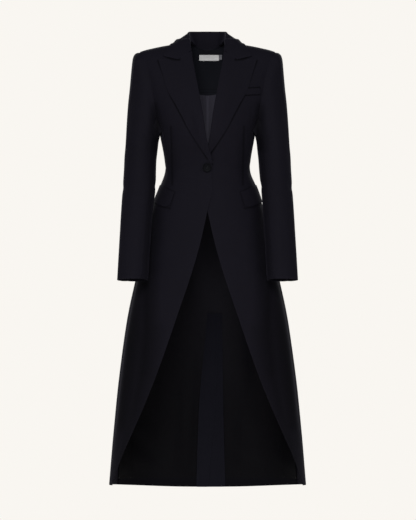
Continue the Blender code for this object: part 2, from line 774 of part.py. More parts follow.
def sleeve_points():
    """Return a left sleeve's middle surface, ring by ring from the armhole to the cuff."""
    places, away = armhole_loop()
    normal = outward(places)
    middle = places + normal * CLOTH / 2
    count = len(places)
    lowest = int(np.argmin(places[:, 2]))
    closed = np.concatenate((places, places[:1]))
    length = np.concatenate(([0], np.cumsum(np.linalg.norm(np.diff(closed, axis=0), axis=1))))
    turn = np.where(np.arange(count) <= lowest,
                    np.pi * length[:-1] / length[lowest],
                    np.pi * (1 + (length[:-1] - length[lowest]) / (length[-1] - length[lowest])))
    top_start, under_start = middle[0], middle[lowest]
    span = top_start - under_start
    level = np.array([span[0], 0, span[2]])
    size = np.linalg.norm(level)
    level_unit = level / size
    side_unit = np.array([-level_unit[2], 0, level_unit[0]])
    from_under = middle - under_start
    share_start = from_under @ level_unit / size
    off_start = from_under @ side_unit
    ring = {name: column_curve(SLEEVE_RINGS, "height", name)
            for name in ("centre_x", "centre_y", "half_width", "half_depth")}
    first = SLEEVE_RINGS[0].height
    share_end = (1 + np.cos(turn)) / 2
    depth_end = ring["centre_y"](first) - ring["half_depth"](first) * np.sin(turn)
    rows = []
    for cap in SLEEVE_CAP:
        top_point = np.array([cap.top_x, 0, cap.top_z])
        under_point = np.array([cap.under_x, 0, cap.under_z])
        blend = cap.blend
        share = share_start + (share_end - share_start) * blend
        off = off_start * (1 - blend) ** 2
        depth = middle[:, 1] + (depth_end - middle[:, 1]) * smooth_step(blend)
        fullness = 1 + CAP_FULLNESS / 70 * np.sin(np.pi * blend)
        row = under_point + share[:, None] * (top_point - under_point) + off[:, None] * side_unit
        row[:, 1] = depth * fullness
        rows.append(row)
    direction = unit(rows[0] - middle)
    armhole_row = middle + turn_from(away, normal, direction)
    rows.insert(0, armhole_row)
    for height in SLEEVE_ROWS:
        x = ring["centre_x"](height) + ring["half_width"](height) * np.cos(turn)
        y = ring["centre_y"](height) - ring["half_depth"](height) * np.sin(turn)
        tilt = smooth_step((-560 - height) / 97) * CUFF_TILT * np.sin(turn)
        rows.append(np.stack([x, y, height + tilt], axis=-1))
    return np.stack(rows)


def add_sleeves(collection):
    """Model both two-piece sleeves, each an upper and an under piece."""
    tube = sleeve_points()
    count = tube.shape[1]
    middle = int(np.argmin(tube[0, :, 2]))
    front_seam = middle - FRONT_SEAM_STEP
    back_seam = middle + BACK_SEAM_STEP
    under = np.arange(front_seam, back_seam + 1)
    upper = np.arange(back_seam, front_seam + count + 1) % count
    closed_normal = grid_normals(np.concatenate((tube[:, -3:], tube, tube[:, :3]), axis=1))[:, 3:-3]
    for side in (LEFT, RIGHT):
        for name, columns in (("sleeve_under_", under), ("sleeve_top_", upper)):
            normal = closed_normal[:, columns]
            faces = []
            for step in (-CLOTH / 2, CLOTH / 2):
                face = trimmed(tube[:, columns] + normal * step, "LR")
                faces.append(mirrored(face, side))
            add_wall(collection, name + SIDE_NAMES[side], faces, "shell")


def add_flaps(collection):
    """Model the hip pocket flaps, which lie on the front and round the side."""
    columns, rows = FLAP_GRID
    angle = np.linspace(FLAP_FRONT, FLAP_BACK, columns + 1)
    top = smooth_curve([a for a, _ in FLAP_TOP], [h for _, h in FLAP_TOP])(angle)
    down = np.linspace(0, 1, rows + 1)[:, None]
    slant = (1 - np.linspace(0, 1, columns + 1)) * 2.5
    height = top - FLAP_DEPTH * down
    shifted = angle + slant * down
    corner = np.clip(1 - np.linspace(0, 1, columns + 1) * columns / 2, 0, 1) ** 2
    height = height + down ** 3 * corner * 8
    x, back = around(shifted, height)
    points = on_form(x, height, back)
    for side in (LEFT, RIGHT):
        low = CLOTH + FLAP_LIFT + 0.6 * down + np.zeros_like(angle)
        faces = layer(mirrored(points, side), low, low + FLAP_CLOTH)
        add_wall(collection, "flap_" + SIDE_NAMES[side], faces, "shell")


def flat_patch(x_range, z_line, height, grid, back):
    """Return form points of a slip of cloth given its ends, middle line and height."""
    columns, rows = grid
    x = np.linspace(x_range[0], x_range[1], columns + 1)
    middle = np.linspace(z_line[0], z_line[1], columns + 1)
    z = middle + height / 2 - height * np.linspace(0, 1, rows + 1)[:, None]
    return on_form(np.broadcast_to(x, z.shape), z, back)


def add_chest_welt(collection):
    """Model the chest pocket's welt on the left front."""
    points = flat_patch(WELT_SPAN, WELT_MIDDLE, WELT_HEIGHT, (5, 2), False)
    low = CLOTH + WELT_LIFT
    add_wall(collection, "chest_welt", layer(points, low, low + WELT_CLOTH), "shell")


def add_neck_facing(collection):
    """Model the back neck facing inside the backs, with its label and size tab."""
    half = trimmed(back_points(), "T", 1.0)[:FACING_ROWS + 1, :NECK_COLUMNS + 6]
    whole = np.concatenate((half[:, :0:-1] * np.array([-1, 1, 1]), half), axis=1)
    far = LINING_CLEARANCE + LINING_CLOTH
    add_wall(collection, "neck_facing", layer(whole, -far, -LINING_CLEARANCE), "facing")
    for name, centre, size, grid in (("label", LABEL_CENTRE, LABEL_SIZE, (6, 2)),
                                     ("size_tab", TAB_CENTRE, TAB_SIZE, (2, 2))):
        ends = (centre[0] - size[0] / 2, centre[0] + size[0] / 2)
        points = flat_patch(ends, (centre[1], centre[1]), size[1], grid, True)
        lower = far + LABEL_CLEARANCE
        add_wall(collection, name, layer(points, -lower - LINING_CLOTH, -lower), "label")


def add_linings(collection):
    """Model the back and side linings, moved in from the panels that they line."""
    far = LINING_CLEARANCE + LINING_CLOTH
    for side in (LEFT, RIGHT):
        points = back_points()[FACING_ROWS:-1]
        points = mirrored(trimmed(points, "LRT"), side)
        name = "lining_back_" + SIDE_NAMES[side]
        add_wall(collection, name, layer(points, -far, -LINING_CLEARANCE), "lining")
        points = mirrored(trimmed(side_points()[:-1, 2:], "LR"), side)
        name = "lining_side_" + SIDE_NAMES[side]
        add_wall(collection, name, layer(points, -far, -LINING_CLEARANCE), "lining")


def add_vent(collection):
    """Model the vent extensions and the turned-up hem in shell cloth, seen from inside."""
    far = LINING_CLEARANCE + LINING_CLOTH
    heights = np.array([VENT_TOP + 10] + [h for h in LOWER_ROWS if h <= VENT_TOP] + [HEM_SIDE])
    under_end = smooth_curve((-760, -860, -1002, -1207, -1245), (27, 27, 23.5, 8, 6))(heights)
    facing_depth = far + VENT_CLEARANCE
    under_depth = facing_depth + LINING_CLOTH + VENT_CLEARANCE
    spans = (("vent_underlap", np.full_like(heights, -24.0), under_end, under_depth, 4),
             ("vent_facing", under_end - 22, np.full_like(heights, 48.0), facing_depth, 5))
    for name, first, last, depth, columns in spans:
        share = np.linspace(0, 1, columns + 1)
        x = first[:, None] + (last - first)[:, None] * share
        z = np.repeat(heights[:, None], columns + 1, axis=1)
        z[-1] = hem_height(x[-1])
        points = on_form(x, z, True)
        add_wall(collection, name, layer(points, -depth - LINING_CLOTH, -depth), "shell")
    for side in (LEFT, RIGHT):
        back = back_points()[-2:]
        panel = side_points()[-2:, 2:]
        points = np.concatenate((back, panel[:, -2::-1]), axis=1)
        points = mirrored(trimmed(points, "LT"), side)
        name = "hem_" + SIDE_NAMES[side]
        add_wall(collection, name, layer(points, -far, -LINING_CLEARANCE), "shell")


def add_button(collection):
    """Model the front button as a turned disc with a raised rim on the right front."""
    centre = on_form(BUTTON_CENTRE[0], BUTTON_CENTRE[1], False)
    normal = outward(centre)
    lift = float(lap_lift(centre, RIGHT)) + CLOTH + SEAM_GAP + BUTTON_CLEARANCE
    profile = ((0, 0), (0.78, 0), (1, 0.35), (1, 0.7), (0.9, 1), (0.72, 0.92), (0.55, 0.62), (0, 0.6))
    shape = bmesh.new()
    ring = [shape.verts.new((r * BUTTON_RADIUS * MM, 0, h * BUTTON_HEIGHT * MM)) for r, h in profile]
    edges = [shape.edges.new(pair) for pair in zip(ring, ring[1:])]
    bmesh.ops.spin(shape, geom=ring + edges, cent=(0, 0, 0), axis=(0, 0, 1), angle=2 * np.pi,
                   steps=24, use_merge=True)
    bmesh.ops.remove_doubles(shape, verts=shape.verts[:], dist=0.00002)
    bmesh.ops.recalc_face_normals(shape, faces=shape.faces[:])
    mesh = bpy.data.meshes.new("button")
    shape.to_mesh(mesh)
    shape.free()
    mesh.shade_smooth()
    mesh.set_sharp_from_angle(angle=np.radians(40))
    mesh.materials.append(finish_material("button", "button"))
    button = bpy.data.objects.new("button", mesh)
    button.location = (centre + normal * lift) * MM
    tilt = np.arctan2(float(normal[2]), -float(normal[1]))
    button.rotation_euler = (np.pi / 2 - tilt, 0, 0)
    collection.objects.link(button)


def main():
    """Clear the scene and model every piece of the blazer."""
    for leftover in list(bpy.data.objects):
        bpy.data.objects.remove(leftover, do_unlink=True)
    collection = bpy.data.collections.new("cutaway_blazer")
    bpy.context.scene.collection.children.link(collection)
    add_fronts(collection)
    add_sides(collection)
    add_backs(collection)
    add_lapels(collection)
    add_collar(collection)
    add_sleeves(collection)
    add_flaps(collection)
    add_chest_welt(collection)
    add_neck_facing(collection)
    add_linings(collection)
    add_vent(collection)
    add_button(collection)


main()
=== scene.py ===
"""Looks of a long cutaway blazer, piece by sewn piece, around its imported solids.

Every cloth piece is a copy of its solid, welded and refined to a smooth wall through the same
points. The soft folds of the garment are then pressed into all its layers alike, so that facing,
lining, shell and what lies on the shell keep their distances. Lengths in the tables are
millimetres. The front faces -Y, +Z is up and the wearer's left is +X.
"""

import logging
import math
from dataclasses import dataclass, field
from enum import Enum
from functools import lru_cache
from typing import Callable, Dict, List, Optional, Sequence, Tuple

import bmesh
import bpy
import numpy as np
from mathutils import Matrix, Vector


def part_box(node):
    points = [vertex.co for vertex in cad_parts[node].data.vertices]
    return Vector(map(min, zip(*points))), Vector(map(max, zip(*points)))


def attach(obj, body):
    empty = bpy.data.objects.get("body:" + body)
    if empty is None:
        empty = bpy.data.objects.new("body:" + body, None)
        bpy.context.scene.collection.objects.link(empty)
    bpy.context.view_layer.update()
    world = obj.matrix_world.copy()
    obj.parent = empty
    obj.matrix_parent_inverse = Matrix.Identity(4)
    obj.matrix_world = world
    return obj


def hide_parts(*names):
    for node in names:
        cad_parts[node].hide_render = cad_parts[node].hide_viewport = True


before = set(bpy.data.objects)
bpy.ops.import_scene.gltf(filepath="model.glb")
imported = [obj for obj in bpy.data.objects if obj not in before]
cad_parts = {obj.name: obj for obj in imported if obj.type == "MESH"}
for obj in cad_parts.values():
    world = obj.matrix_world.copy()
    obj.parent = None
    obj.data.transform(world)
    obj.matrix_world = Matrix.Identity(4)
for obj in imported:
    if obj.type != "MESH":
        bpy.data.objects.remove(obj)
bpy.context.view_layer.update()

log = logging.getLogger("cutaway_blazer")
MM = 0.001
SIDES = (("right", -1), ("left", 1))
TO_FRONT = (math.pi / 2, 0, 0)
Colour = Tuple[float, float, float]
Cut = Tuple[float, float, float]
Line = Tuple[Tuple[float, float], ...]
Rows = Sequence[Tuple[float, ...]]
Piece = bpy.types.Object
Socket = bpy.types.NodeSocket
Material = bpy.types.Material
Sources = Dict[object, object]


class Seen(Enum):
    """The side of the garment that a fold lies on: its two plane axes, its depth axis and sign."""

    FRONT = (0, 2, 1, -1)
    BACK = (0, 2, 1, 1)
    LEFT = (1, 2, 0, 1)
    RIGHT = (1, 2, 0, -1)


class Fold(Enum):
    """Whether a crease is pressed in or stands proud."""

    TROUGH = -1
    RIDGE = 1


class Hold(Enum):
    """How a cut piece is carried on the garment."""

    HUNG = "hung"
    LAID = "laid"
    FOLDED = "folded"


@dataclass(frozen=True)
class Shade:
    """A soft dark line painted on the cloth, mostly a painted shadow: beside raised edges, in tucked seams and
    where the cloth turns away from the light; on the facing it draws the dark lines of its lower band.

    Start and end are distance from the centre and height, in millimetres, as the width is.
    """

    start: Tuple[float, float]
    end: Tuple[float, float]
    width: float
    strength: float


def trail(*stops: Tuple[float, ...]) -> Tuple[Shade, ...]:
    """Return the shadow lines that join stops.

    Args:
        stops: each a distance from the centre and a height, and all but the last the width and
            the strength of the line that leads on.
    """
    return tuple(Shade(here[:2], there[:2], *here[2:]) for here, there in zip(stops, stops[1:]))


@dataclass(frozen=True)
class Crease:
    """One soft fold: the line it follows on one side, its width, its depth and its kind."""

    seen: Seen
    kind: Fold
    line: Line
    width: float
    depth: float
    mirrored: bool = True


def smooth_step(value: np.ndarray) -> np.ndarray:
    """Return 0 to 1 with level ends as the value goes from 0 to 1."""
    value = np.clip(value, 0.0, 1.0)
    return value * value * (3.0 - 2.0 * value)


def rows_at(rows: Rows, heights: np.ndarray) -> List[np.ndarray]:
    """Read a table at heights, straight between its rows and level past them.

    Args:
        rows: each a height and the values there, in any order.
        heights: where to read them.

    Returns:
        One array for each value.
    """
    known, *columns = np.array(sorted(rows), float).T
    return [np.interp(heights, known, column) for column in columns]


def line_distance(points: np.ndarray, line: Line) -> Tuple[np.ndarray, np.ndarray]:
    """Measure points against a polyline in a plane.

    Args:
        points: N by 2 positions in millimetres.
        line: the polyline's corners in millimetres.

    Returns:
        The distance to the line, and how far along it, from 0 to 1, each point lies.
    """
    corners = np.array(line, float)
    lengths = np.linalg.norm(np.diff(corners, axis=0), axis=1)
    total = lengths.sum()
    best = np.full(len(points), 1e9)
    share = np.zeros(len(points))
    done = 0.0
    for start, end, length in zip(corners, corners[1:], lengths):
        way = (end - start) / length
        run = np.clip((points - start) @ way, 0.0, length)
        gap = np.linalg.norm(points - start - run[:, None] * way, axis=1)
        nearer = gap < best
        best = np.where(nearer, gap, best)
        share = np.where(nearer, (done + run) / total, share)
        done += length
    return best, share


def crease_height(points: np.ndarray, outward: np.ndarray, crease: Crease) -> np.ndarray:
    """Return how far one crease lifts each point, in millimetres.

    Args:
        points: N by 3 positions in millimetres.
        outward: N by 3 unit directions out of the garment.
        crease: the fold to press.
    """
    across, up, depth, sign = crease.seen.value
    lift = np.zeros(len(points))
    facing = smooth_step((outward[:, depth] * sign - 0.1) / 0.35)
    sides = (1, -1) if crease.mirrored and across == 0 else (1,)
    for side in sides:
        line = tuple((side * u, v) for u, v in crease.line)
        gap, share = line_distance(points[:, (across, up)], line)
        profile = np.exp(-((gap / crease.width) ** 2))
        ends = smooth_step(share / 0.25 + 0.15) * smooth_step((1.0 - share) / 0.25 + 0.15)
        lift += crease.kind.value * crease.depth * profile * ends
    return lift * facing


@dataclass(frozen=True)
class HipEase:
    """How far the right hip and the sleeve beside it are moved in, in millimetres."""

    depth: float = 4.0
    height: float = -405.0
    span: float = 42.0
    reach: float = -100.0
    fade: float = 30.0

    def shift(self, places: np.ndarray) -> np.ndarray:
        """Return how far each place moves, in metres."""
        x, _, z = (places / MM).T
        swell = np.exp(-(((z - self.height) / self.span) ** 2))
        return self.depth * swell * smooth_step((self.reach - x) / self.fade) * MM


class Drape:
    """The soft relief of one hanging form, shared by all the layers that make it up.

    Centre gives the form's middle and girth its half sizes, each across and front to back, in
    rows that start with the height.
    """

    centre: Rows = ()
    girth: Rows = ()
    creases: Sequence[Crease] = ()
    ripple: float = 0.7
    hip: HipEase = HipEase()

    def outward(self, points: np.ndarray) -> np.ndarray:
        """Return the level directions out of the form at points in millimetres."""
        middle, half = rows_at(self.centre, points[:, 2]), rows_at(self.girth, points[:, 2])
        away = np.zeros_like(points)
        for k in (0, 1):
            offset = (points[:, k] - middle[k]) / half[k]
            away[:, k] = np.sign(offset) * np.abs(offset) ** 1.2 / half[k]
        return away / np.maximum(np.linalg.norm(away, axis=1, keepdims=True), 1e-9)

    def reach(self, points: np.ndarray) -> np.ndarray:
        """Return the share of the relief that each point takes."""
        return np.ones(len(points))

    def wander(self, points: np.ndarray) -> np.ndarray:
        """Return the slow unevenness of hanging cloth at points, in millimetres."""
        x, y, z = points.T
        slow = np.sin(x / 37.0 + 0.6 * np.sin(z / 71.0) + 0.4)
        slow = slow + np.sin(y / 41.0 + z / 93.0 + 1.3) + np.sin(z / 58.0 - x / 83.0 + 2.1)
        return self.ripple * slow / 2.2

    def press(self, places: np.ndarray) -> np.ndarray:
        """Return places in metres with the relief pressed into them."""
        points = places / MM
        outward = self.outward(points)
        lift = self.wander(points)
        for crease in self.creases:
            lift = lift + crease_height(points, outward, crease)
        return places + outward * (lift * self.reach(points) * MM)[:, None]


@dataclass(frozen=True)
class NeckEase:
    """How far the rolled front edges are eased open, so that the roll itself ends on the roll line.

    The rows are height, the edge's reach, the right and the left front's ease, and how far it fades.
    """

    rows: Rows = (
        (16, 50, 0, 0, 60), (0, 47.5, 2.0, 2.6, 66), (-22, 44, 3.8, 5.2, 74), (-48, 39, 5.4, 7.2, 74),
        (-120, 26, 3.8, 5.6, 66), (-182, 14, 4.2, 6.2, 56), (-224, 7, 5.0, 7.6, 42),
        (-266, -1, 6.6, 10.0, 30), (-300, -11, 8.2, 11.0, 22), (-322, -16, 8.2, 9.0, 18),
        (-340, -16, 5.0, 5.0, 24), (-362, -13, 1.6, 1.6, 30), (-400, -12.6, 0.4, 0.4, 36),
        (-430, -8, 0, 0, 36))
    front_from: float = -4.0
    front_fade: float = 28.0
    middle: float = 12.0

    def ease(self, places: np.ndarray) -> np.ndarray:
        """Return places in metres with the front edges eased apart."""
        x, y, z = (places / MM).T
        side = self.side_of(x)
        edge, right, left, fade = rows_at(self.rows, z)
        shift = np.where(side > 0, left, right)
        share = 1.0 - smooth_step(np.maximum(x * side - edge, 0.0) / fade)
        front = smooth_step((self.front_from - y) / self.front_fade)
        eased = places.copy()
        eased[:, 0] += side * shift * share * front * MM
        return eased

    def side_of(self, x: np.ndarray) -> np.ndarray:
        """Return the side that a piece's points belong to, from where most of them lie."""
        if abs(np.median(x)) > self.middle:
            return np.full(len(x), np.sign(np.median(x)))
        return np.where(x > 0, 1.0, -1.0)


class BodyDrape(Drape):
    """The relief of the fronts, sides, backs and all that lies on or inside them."""

    neck: NeckEase = NeckEase()

    centre = ((60, 0, 0), (-1300, 0, 0))
    girth = (
        (40, 60, 50), (0, 120, 45), (-42, 205, 74), (-112, 185, 105), (-190, 153, 120),
        (-253, 131, 118), (-339, 118, 100), (-423, 144, 115), (-588, 184, 140), (-753, 221, 161),
        (-1022, 256, 186), (-1245, 274, 200),
    )
    creases = (
        Crease(Seen.FRONT, Fold.TROUGH, ((141, -178), (131, -214), (118, -258)), 9, 3.0),
        Crease(Seen.FRONT, Fold.RIDGE, ((124, -184), (112, -222), (104, -262)), 10, 1.2),
        Crease(Seen.FRONT, Fold.TROUGH, ((104, -228), (100.5, -300), (98.5, -386)), 8, 1.5),
        Crease(Seen.FRONT, Fold.RIDGE, ((84, -260), (80, -330), (84, -400)), 15, 1.3),
        Crease(Seen.FRONT, Fold.TROUGH, ((112, -330), (92, -347), (60, -352)), 8, 0.9),
        Crease(Seen.FRONT, Fold.TROUGH, ((16, -356), (48, -366), (92, -366)), 9, 0.9),
        Crease(Seen.FRONT, Fold.TROUGH, ((150, -466), (160, -560), (176, -700)), 20, 4.0),
        Crease(Seen.FRONT, Fold.RIDGE, ((112, -470), (124, -600), (150, -820)), 26, 2.4),
        Crease(Seen.FRONT, Fold.TROUGH, ((196, -800), (214, -950), (232, -1130)), 20, 3.2),
        Crease(Seen.FRONT, Fold.RIDGE, ((196, -1020), (222, -1130), (240, -1225)), 16, 2.0),
        Crease(Seen.BACK, Fold.TROUGH, ((112, -318), (78, -342), (32, -352)), 9, 1.5),
        Crease(Seen.BACK, Fold.TROUGH, ((118, -352), (90, -372), (58, -378)), 8, 1.1),
        Crease(Seen.BACK, Fold.TROUGH, ((132, -206), (112, -262), (96, -312)), 12, 2.0),
        Crease(Seen.BACK, Fold.RIDGE, ((60, -420), (72, -640), (96, -980)), 28, 3.0),
        Crease(Seen.BACK, Fold.TROUGH, ((112, -520), (134, -760), (160, -1180)), 24, 4.0),
        Crease(Seen.BACK, Fold.RIDGE, ((166, -640), (196, -860), (216, -1200)), 22, 2.6),
        Crease(Seen.BACK, Fold.TROUGH, ((28, -720), (40, -900), (52, -1180)), 16, 1.6),
        Crease(Seen.LEFT, Fold.TROUGH, ((-20, -520), (-24, -760), (-34, -1120)), 22, 3.4),
        Crease(Seen.RIGHT, Fold.TROUGH, ((-16, -500), (-26, -740), (-30, -1140)), 22, 3.4),
        Crease(Seen.LEFT, Fold.RIDGE, ((44, -600), (58, -860), (70, -1190)), 24, 2.6),
        Crease(Seen.RIGHT, Fold.RIDGE, ((40, -620), (60, -880), (66, -1180)), 24, 2.6),
        Crease(Seen.LEFT, Fold.TROUGH, ((-30, -322), (8, -346), (44, -352)), 8, 1.3),
        Crease(Seen.RIGHT, Fold.TROUGH, ((-34, -326), (4, -348), (40, -350)), 8, 1.3),
    )
    armhole = ((-10, 190), (-42, 175), (-112, 155), (-190, 140), (-250, 128))
    calm: float = 34.0

    def press(self, places: np.ndarray) -> np.ndarray:
        """Return places eased at the neck, taken in at the right hip and pressed with the relief."""
        moved = super().press(self.neck.ease(places))
        moved[:, 0] += self.hip.shift(places)
        return moved

    def reach(self, points: np.ndarray) -> np.ndarray:
        """Return less relief towards the armholes, where the sleeves are sewn, and the neck."""
        x, _, z = points.T
        inside = smooth_step((rows_at(self.armhole, z)[0] - np.abs(x)) / self.calm)
        below = smooth_step((-246.0 - z) / 44.0)
        off_neck = smooth_step((-22.0 - z) / 60.0)
        return np.maximum(inside, below) * off_neck


@dataclass
class SleeveDrape(Drape):
    """The relief of one sleeve: the creases of its bend and its soft lengthwise folds.

    Args:
        side: 1 for the wearer's left sleeve, -1 for the right.
        seam: rows of height and the armhole seam's reach, let in to the body by the tuck.
        inner: rows of height and the right sleeve's middle, inside which it follows the hip.
        clear: rows of height and the reach past which the sleeve takes its relief.
    """

    side: int = 1
    ripple: float = 0.8
    tuck: float = 1.3
    seam: Rows = ((-20, 182), (-112, 150), (-250, 126))
    inner: Rows = ((-272, -183), (-423, -195), (-657, -209))
    clear: Rows = ((-20, 196), (-112, 164), (-250, 140))
    centre: Rows = field(init=False)
    girth: Rows = field(init=False)
    creases: Sequence[Crease] = field(init=False)

    def __post_init__(self) -> None:
        """Place the middle line and the creases on this sleeve's side."""
        s = self.side
        outer, inner = (Seen.LEFT, Seen.RIGHT) if s == 1 else (Seen.RIGHT, Seen.LEFT)
        elbow = 1.3 if s == 1 else 0.8
        self.centre = tuple((z, s * x, y) for z, x, y in (
            (0, 172, 0), (-60, 178, 0), (-272, 183, -6), (-356, 189, -34), (-423, 195, -62),
            (-500, 199.5, -88), (-657, 209, -131)))
        self.girth = ((0, 44, 60), (-272, 44.5, 61), (-423, 42.6, 52), (-657, 42.3, 43))
        self.creases = tuple(self._crease(*row) for row in (
            (Seen.FRONT, Fold.TROUGH, ((168, -398), (186, -408), (206, -402)), 10, elbow),
            (Seen.FRONT, Fold.TROUGH, ((176, -440), (196, -442), (216, -430)), 11, 0.55 * elbow),
            (Seen.FRONT, Fold.TROUGH, ((164, -356), (180, -372), (198, -376)), 10, 0.6 * elbow),
            (Seen.FRONT, Fold.RIDGE, ((172, -422), (194, -426), (214, -416)), 10, 0.5 * elbow),
            (Seen.FRONT, Fold.RIDGE, ((204, -140), (206, -250), (212, -360)), 15, 1.1),
            (Seen.FRONT, Fold.TROUGH, ((176, -130), (172, -230), (170, -330)), 12, 1.5),
            (Seen.FRONT, Fold.TROUGH, ((206, -470), (214, -560), (216, -640)), 11, 1.6),
            (outer, Fold.TROUGH, ((-92, -392), (-66, -404), (-40, -396)), 10, 1.7),
            (outer, Fold.RIDGE, ((-14, -120), (-20, -230), (-34, -350)), 14, 1.5),
            (outer, Fold.TROUGH, ((16, -140), (10, -250), (-6, -340)), 12, 1.6),
            (inner, Fold.TROUGH, ((-84, -382), (-60, -398), (-30, -392)), 9, 2.0),
            (inner, Fold.TROUGH, ((-30, -300), (-40, -340), (-64, -380)), 9, 1.4),
            (Seen.BACK, Fold.RIDGE, ((182, -260), (190, -380), (200, -500)), 14, 1.5),
            (Seen.BACK, Fold.TROUGH, ((206, -130), (204, -230), (208, -330)), 12, 1.8),
        ))

    def _crease(self, seen: Seen, kind: Fold, line: Line, width: float, depth: float) -> Crease:
        """Return one crease, with a line seen from the front or back turned to this sleeve's side."""
        turn = self.side if seen in (Seen.FRONT, Seen.BACK) else 1
        return Crease(seen, kind, tuple((turn * u, v) for u, v in line), width, depth, False)

    def press(self, places: np.ndarray) -> np.ndarray:
        """Return places pressed with the relief, the armhole edge let in to the body by the tuck."""
        moved = super().press(places)
        x, _, z = (places / MM).T
        near = 1.0 - smooth_step((np.abs(x) - rows_at(self.seam, z)[0]) / 22.0)
        moved[:, 0] -= self.side * self.tuck * near * smooth_step((-40.0 - z) / 60.0) * MM
        if self.side < 0:
            moved[:, 0] += self.hip.shift(places) * smooth_step((x - rows_at(self.inner, z)[0]) / 25.0)
        return moved

    def reach(self, points: np.ndarray) -> np.ndarray:
        """Return no relief at the armhole seam and the full relief from the upper arm down."""
        x, _, z = points.T
        low = smooth_step((-262.0 - z) / 60.0)
        off_body = smooth_step((np.abs(x) - rows_at(self.clear, z)[0]) / 26.0)
        return np.maximum(low, off_body * smooth_step((-30.0 - z) / 60.0))


class LiningDrape(BodyDrape):
    """The body's relief with the fuller, finer ripples of a lining that hangs loose."""

    ripples: Rows = ((9.5, 0.9, 1.2), (17.0, 1.3, 0.4), (26.0, 1.5, 2.2))
    crumple: float = 1.6

    def press(self, places: np.ndarray) -> np.ndarray:
        """Return places pressed with the body's relief, then rippled inwards."""
        moved = super().press(places)
        points = places / MM
        x, y, z = points.T
        outward = self.outward(points)
        loose = smooth_step((-470.0 - z) / 160.0) * smooth_step((z + 1222.0) / 60.0)
        loose = loose * smooth_step((np.abs(x) - 66.0) / 34.0)
        lift = np.zeros(len(points))
        for pitch, depth, phase in self.ripples:
            run = x / pitch + 0.7 * np.sin(z / (pitch * 6.0) + phase)
            lift = lift + depth * (0.5 + 0.5 * np.sin(run + phase))
        uneven = 0.5 + 0.5 * np.sin(z / 15.0 + x / 21.0 + 0.9 * np.sin(x / 33.0))
        low = smooth_step((-1010.0 - z) / 90.0) * smooth_step((z + 1214.0) / 30.0)
        lift = lift + self.crumple * uneven * low
        return moved - outward * (lift * loose * MM)[:, None]


@dataclass(frozen=True)
class Tint:
    """A finish's colour and gloss."""

    colour: Colour
    roughness: float
    specular: float


@dataclass(frozen=True)
class WoolFinish:
    """Fine worsted twill of the shell.

    Thread is its pitch in millimetres, patches the scale of its slow tone changes, spread their
    strength, gloss the spread of its roughness, edge how much lighter its edges are for wear and a
    painted sheen, and sunk how deep a painted shadow line lies.
    """

    name: str = "midnight_wool"
    tint: Tint = Tint((0.0054, 0.0049, 0.0078), 0.80, 0.045)
    thread: float = 0.9
    relief: float = 0.0875
    patches: float = 7.0
    spread: float = 0.28
    gloss: float = 0.16
    edge: float = 0.25
    sunk: float = 0.8
    sheen: float = 0.02
    sheen_roughness: float = 0.45
    sheen_tint: Colour = (0.55, 0.52, 0.75)
    front_fade: Tuple[float, float] = (0.11, -0.01)


@dataclass(frozen=True)
class FacingFinish(WoolFinish):
    """Smoother plain cloth of the neck facing."""

    name: str = "facing_cloth"
    tint: Tint = Tint((0.0072, 0.0077, 0.0108), 0.78, 0.05)
    thread: float = 0.7
    relief: float = 0.055


@dataclass(frozen=True)
class VentFinish(WoolFinish):
    """The shell twill's wrong side on the vent strips, darker than the shell: painted shade inside the skirt.
    """

    name: str = "vent_wool"
    tint: Tint = Tint((0.0046, 0.0046, 0.0074), 0.82, 0.04)


@dataclass(frozen=True)
class HemFinish(WoolFinish):
    """The shell twill's wrong side on the turned-up hem, far darker than the shell: painted shade inside the
    skirt.
    """

    name: str = "hem_wool"
    tint: Tint = Tint((0.0025, 0.0024, 0.0034), 0.82, 0.03)


@dataclass(frozen=True)
class SatinFinish:
    """Lining satin with fine lengthwise threads.

    Its painted light makes it lighter by lit_gain from the height lit_from up to lit_to, in metres,
    with a painted highlight of pleat_highlight_width millimetres down the centre-back pleat, and its
    brightness climbs from low_gain at the height low by the rise at the height high: painted shade
    low in the skirt, painted light above.
    """

    name: str = "lining_satin"
    tint: Tint = Tint((0.0034, 0.0032, 0.0044), 0.52, 0.03)
    thread: float = 0.45
    patches: float = 6.0
    span: Tuple[float, float] = (0.65, 1.35)
    gloss: float = 0.18
    slub: float = 420.0
    slub_stretch: float = 0.06
    lit_from: float = -0.50
    lit_to: float = -0.30
    lit_gain: float = 2.3
    low: float = -1.12
    high: float = -0.55
    low_gain: float = 0.66
    rise: float = 3.1
    pleat_highlight_width: float = 5.0
    pleat_highlight_gain: float = 0.42


@dataclass(frozen=True)
class LabelFinish:
    """White woven damask of the bare label."""

    name: str = "label_weave"
    tint: Tint = Tint((0.80, 0.80, 0.80), 0.62, 0.3)
    thread: float = 0.5
    patches: float = 40.0
    span: Tuple[float, float] = (0.86, 1.08)


@dataclass(frozen=True)
class TabFinish(LabelFinish):
    """Grey woven tape of the bare size tab."""

    name: str = "tab_weave"
    tint: Tint = Tint((0.17, 0.17, 0.19), 0.66, 0.25)


@dataclass(frozen=True)
class HornFinish:
    """Dark polished button stock with faint lighter clouds."""

    name: str = "button_horn"
    tint: Tint = Tint((0.0020, 0.0021, 0.0030), 0.46, 0.025)
    patches: float = 120.0
    span: Tuple[float, float] = (0.7, 1.4)
    gloss: float = 0.12


@dataclass(frozen=True)
class ThreadFinish:
    """Dark twisted sewing thread, lighter than the cloth: on the button its crossed bars stand in for a small
    painted highlight.
    """

    name: str = "silk_thread"
    tint: Tint = Tint((0.0180, 0.0175, 0.0230), 0.45, 0.30)
    thread: float = 0.5
    span: Tuple[float, float] = (0.7, 1.5)


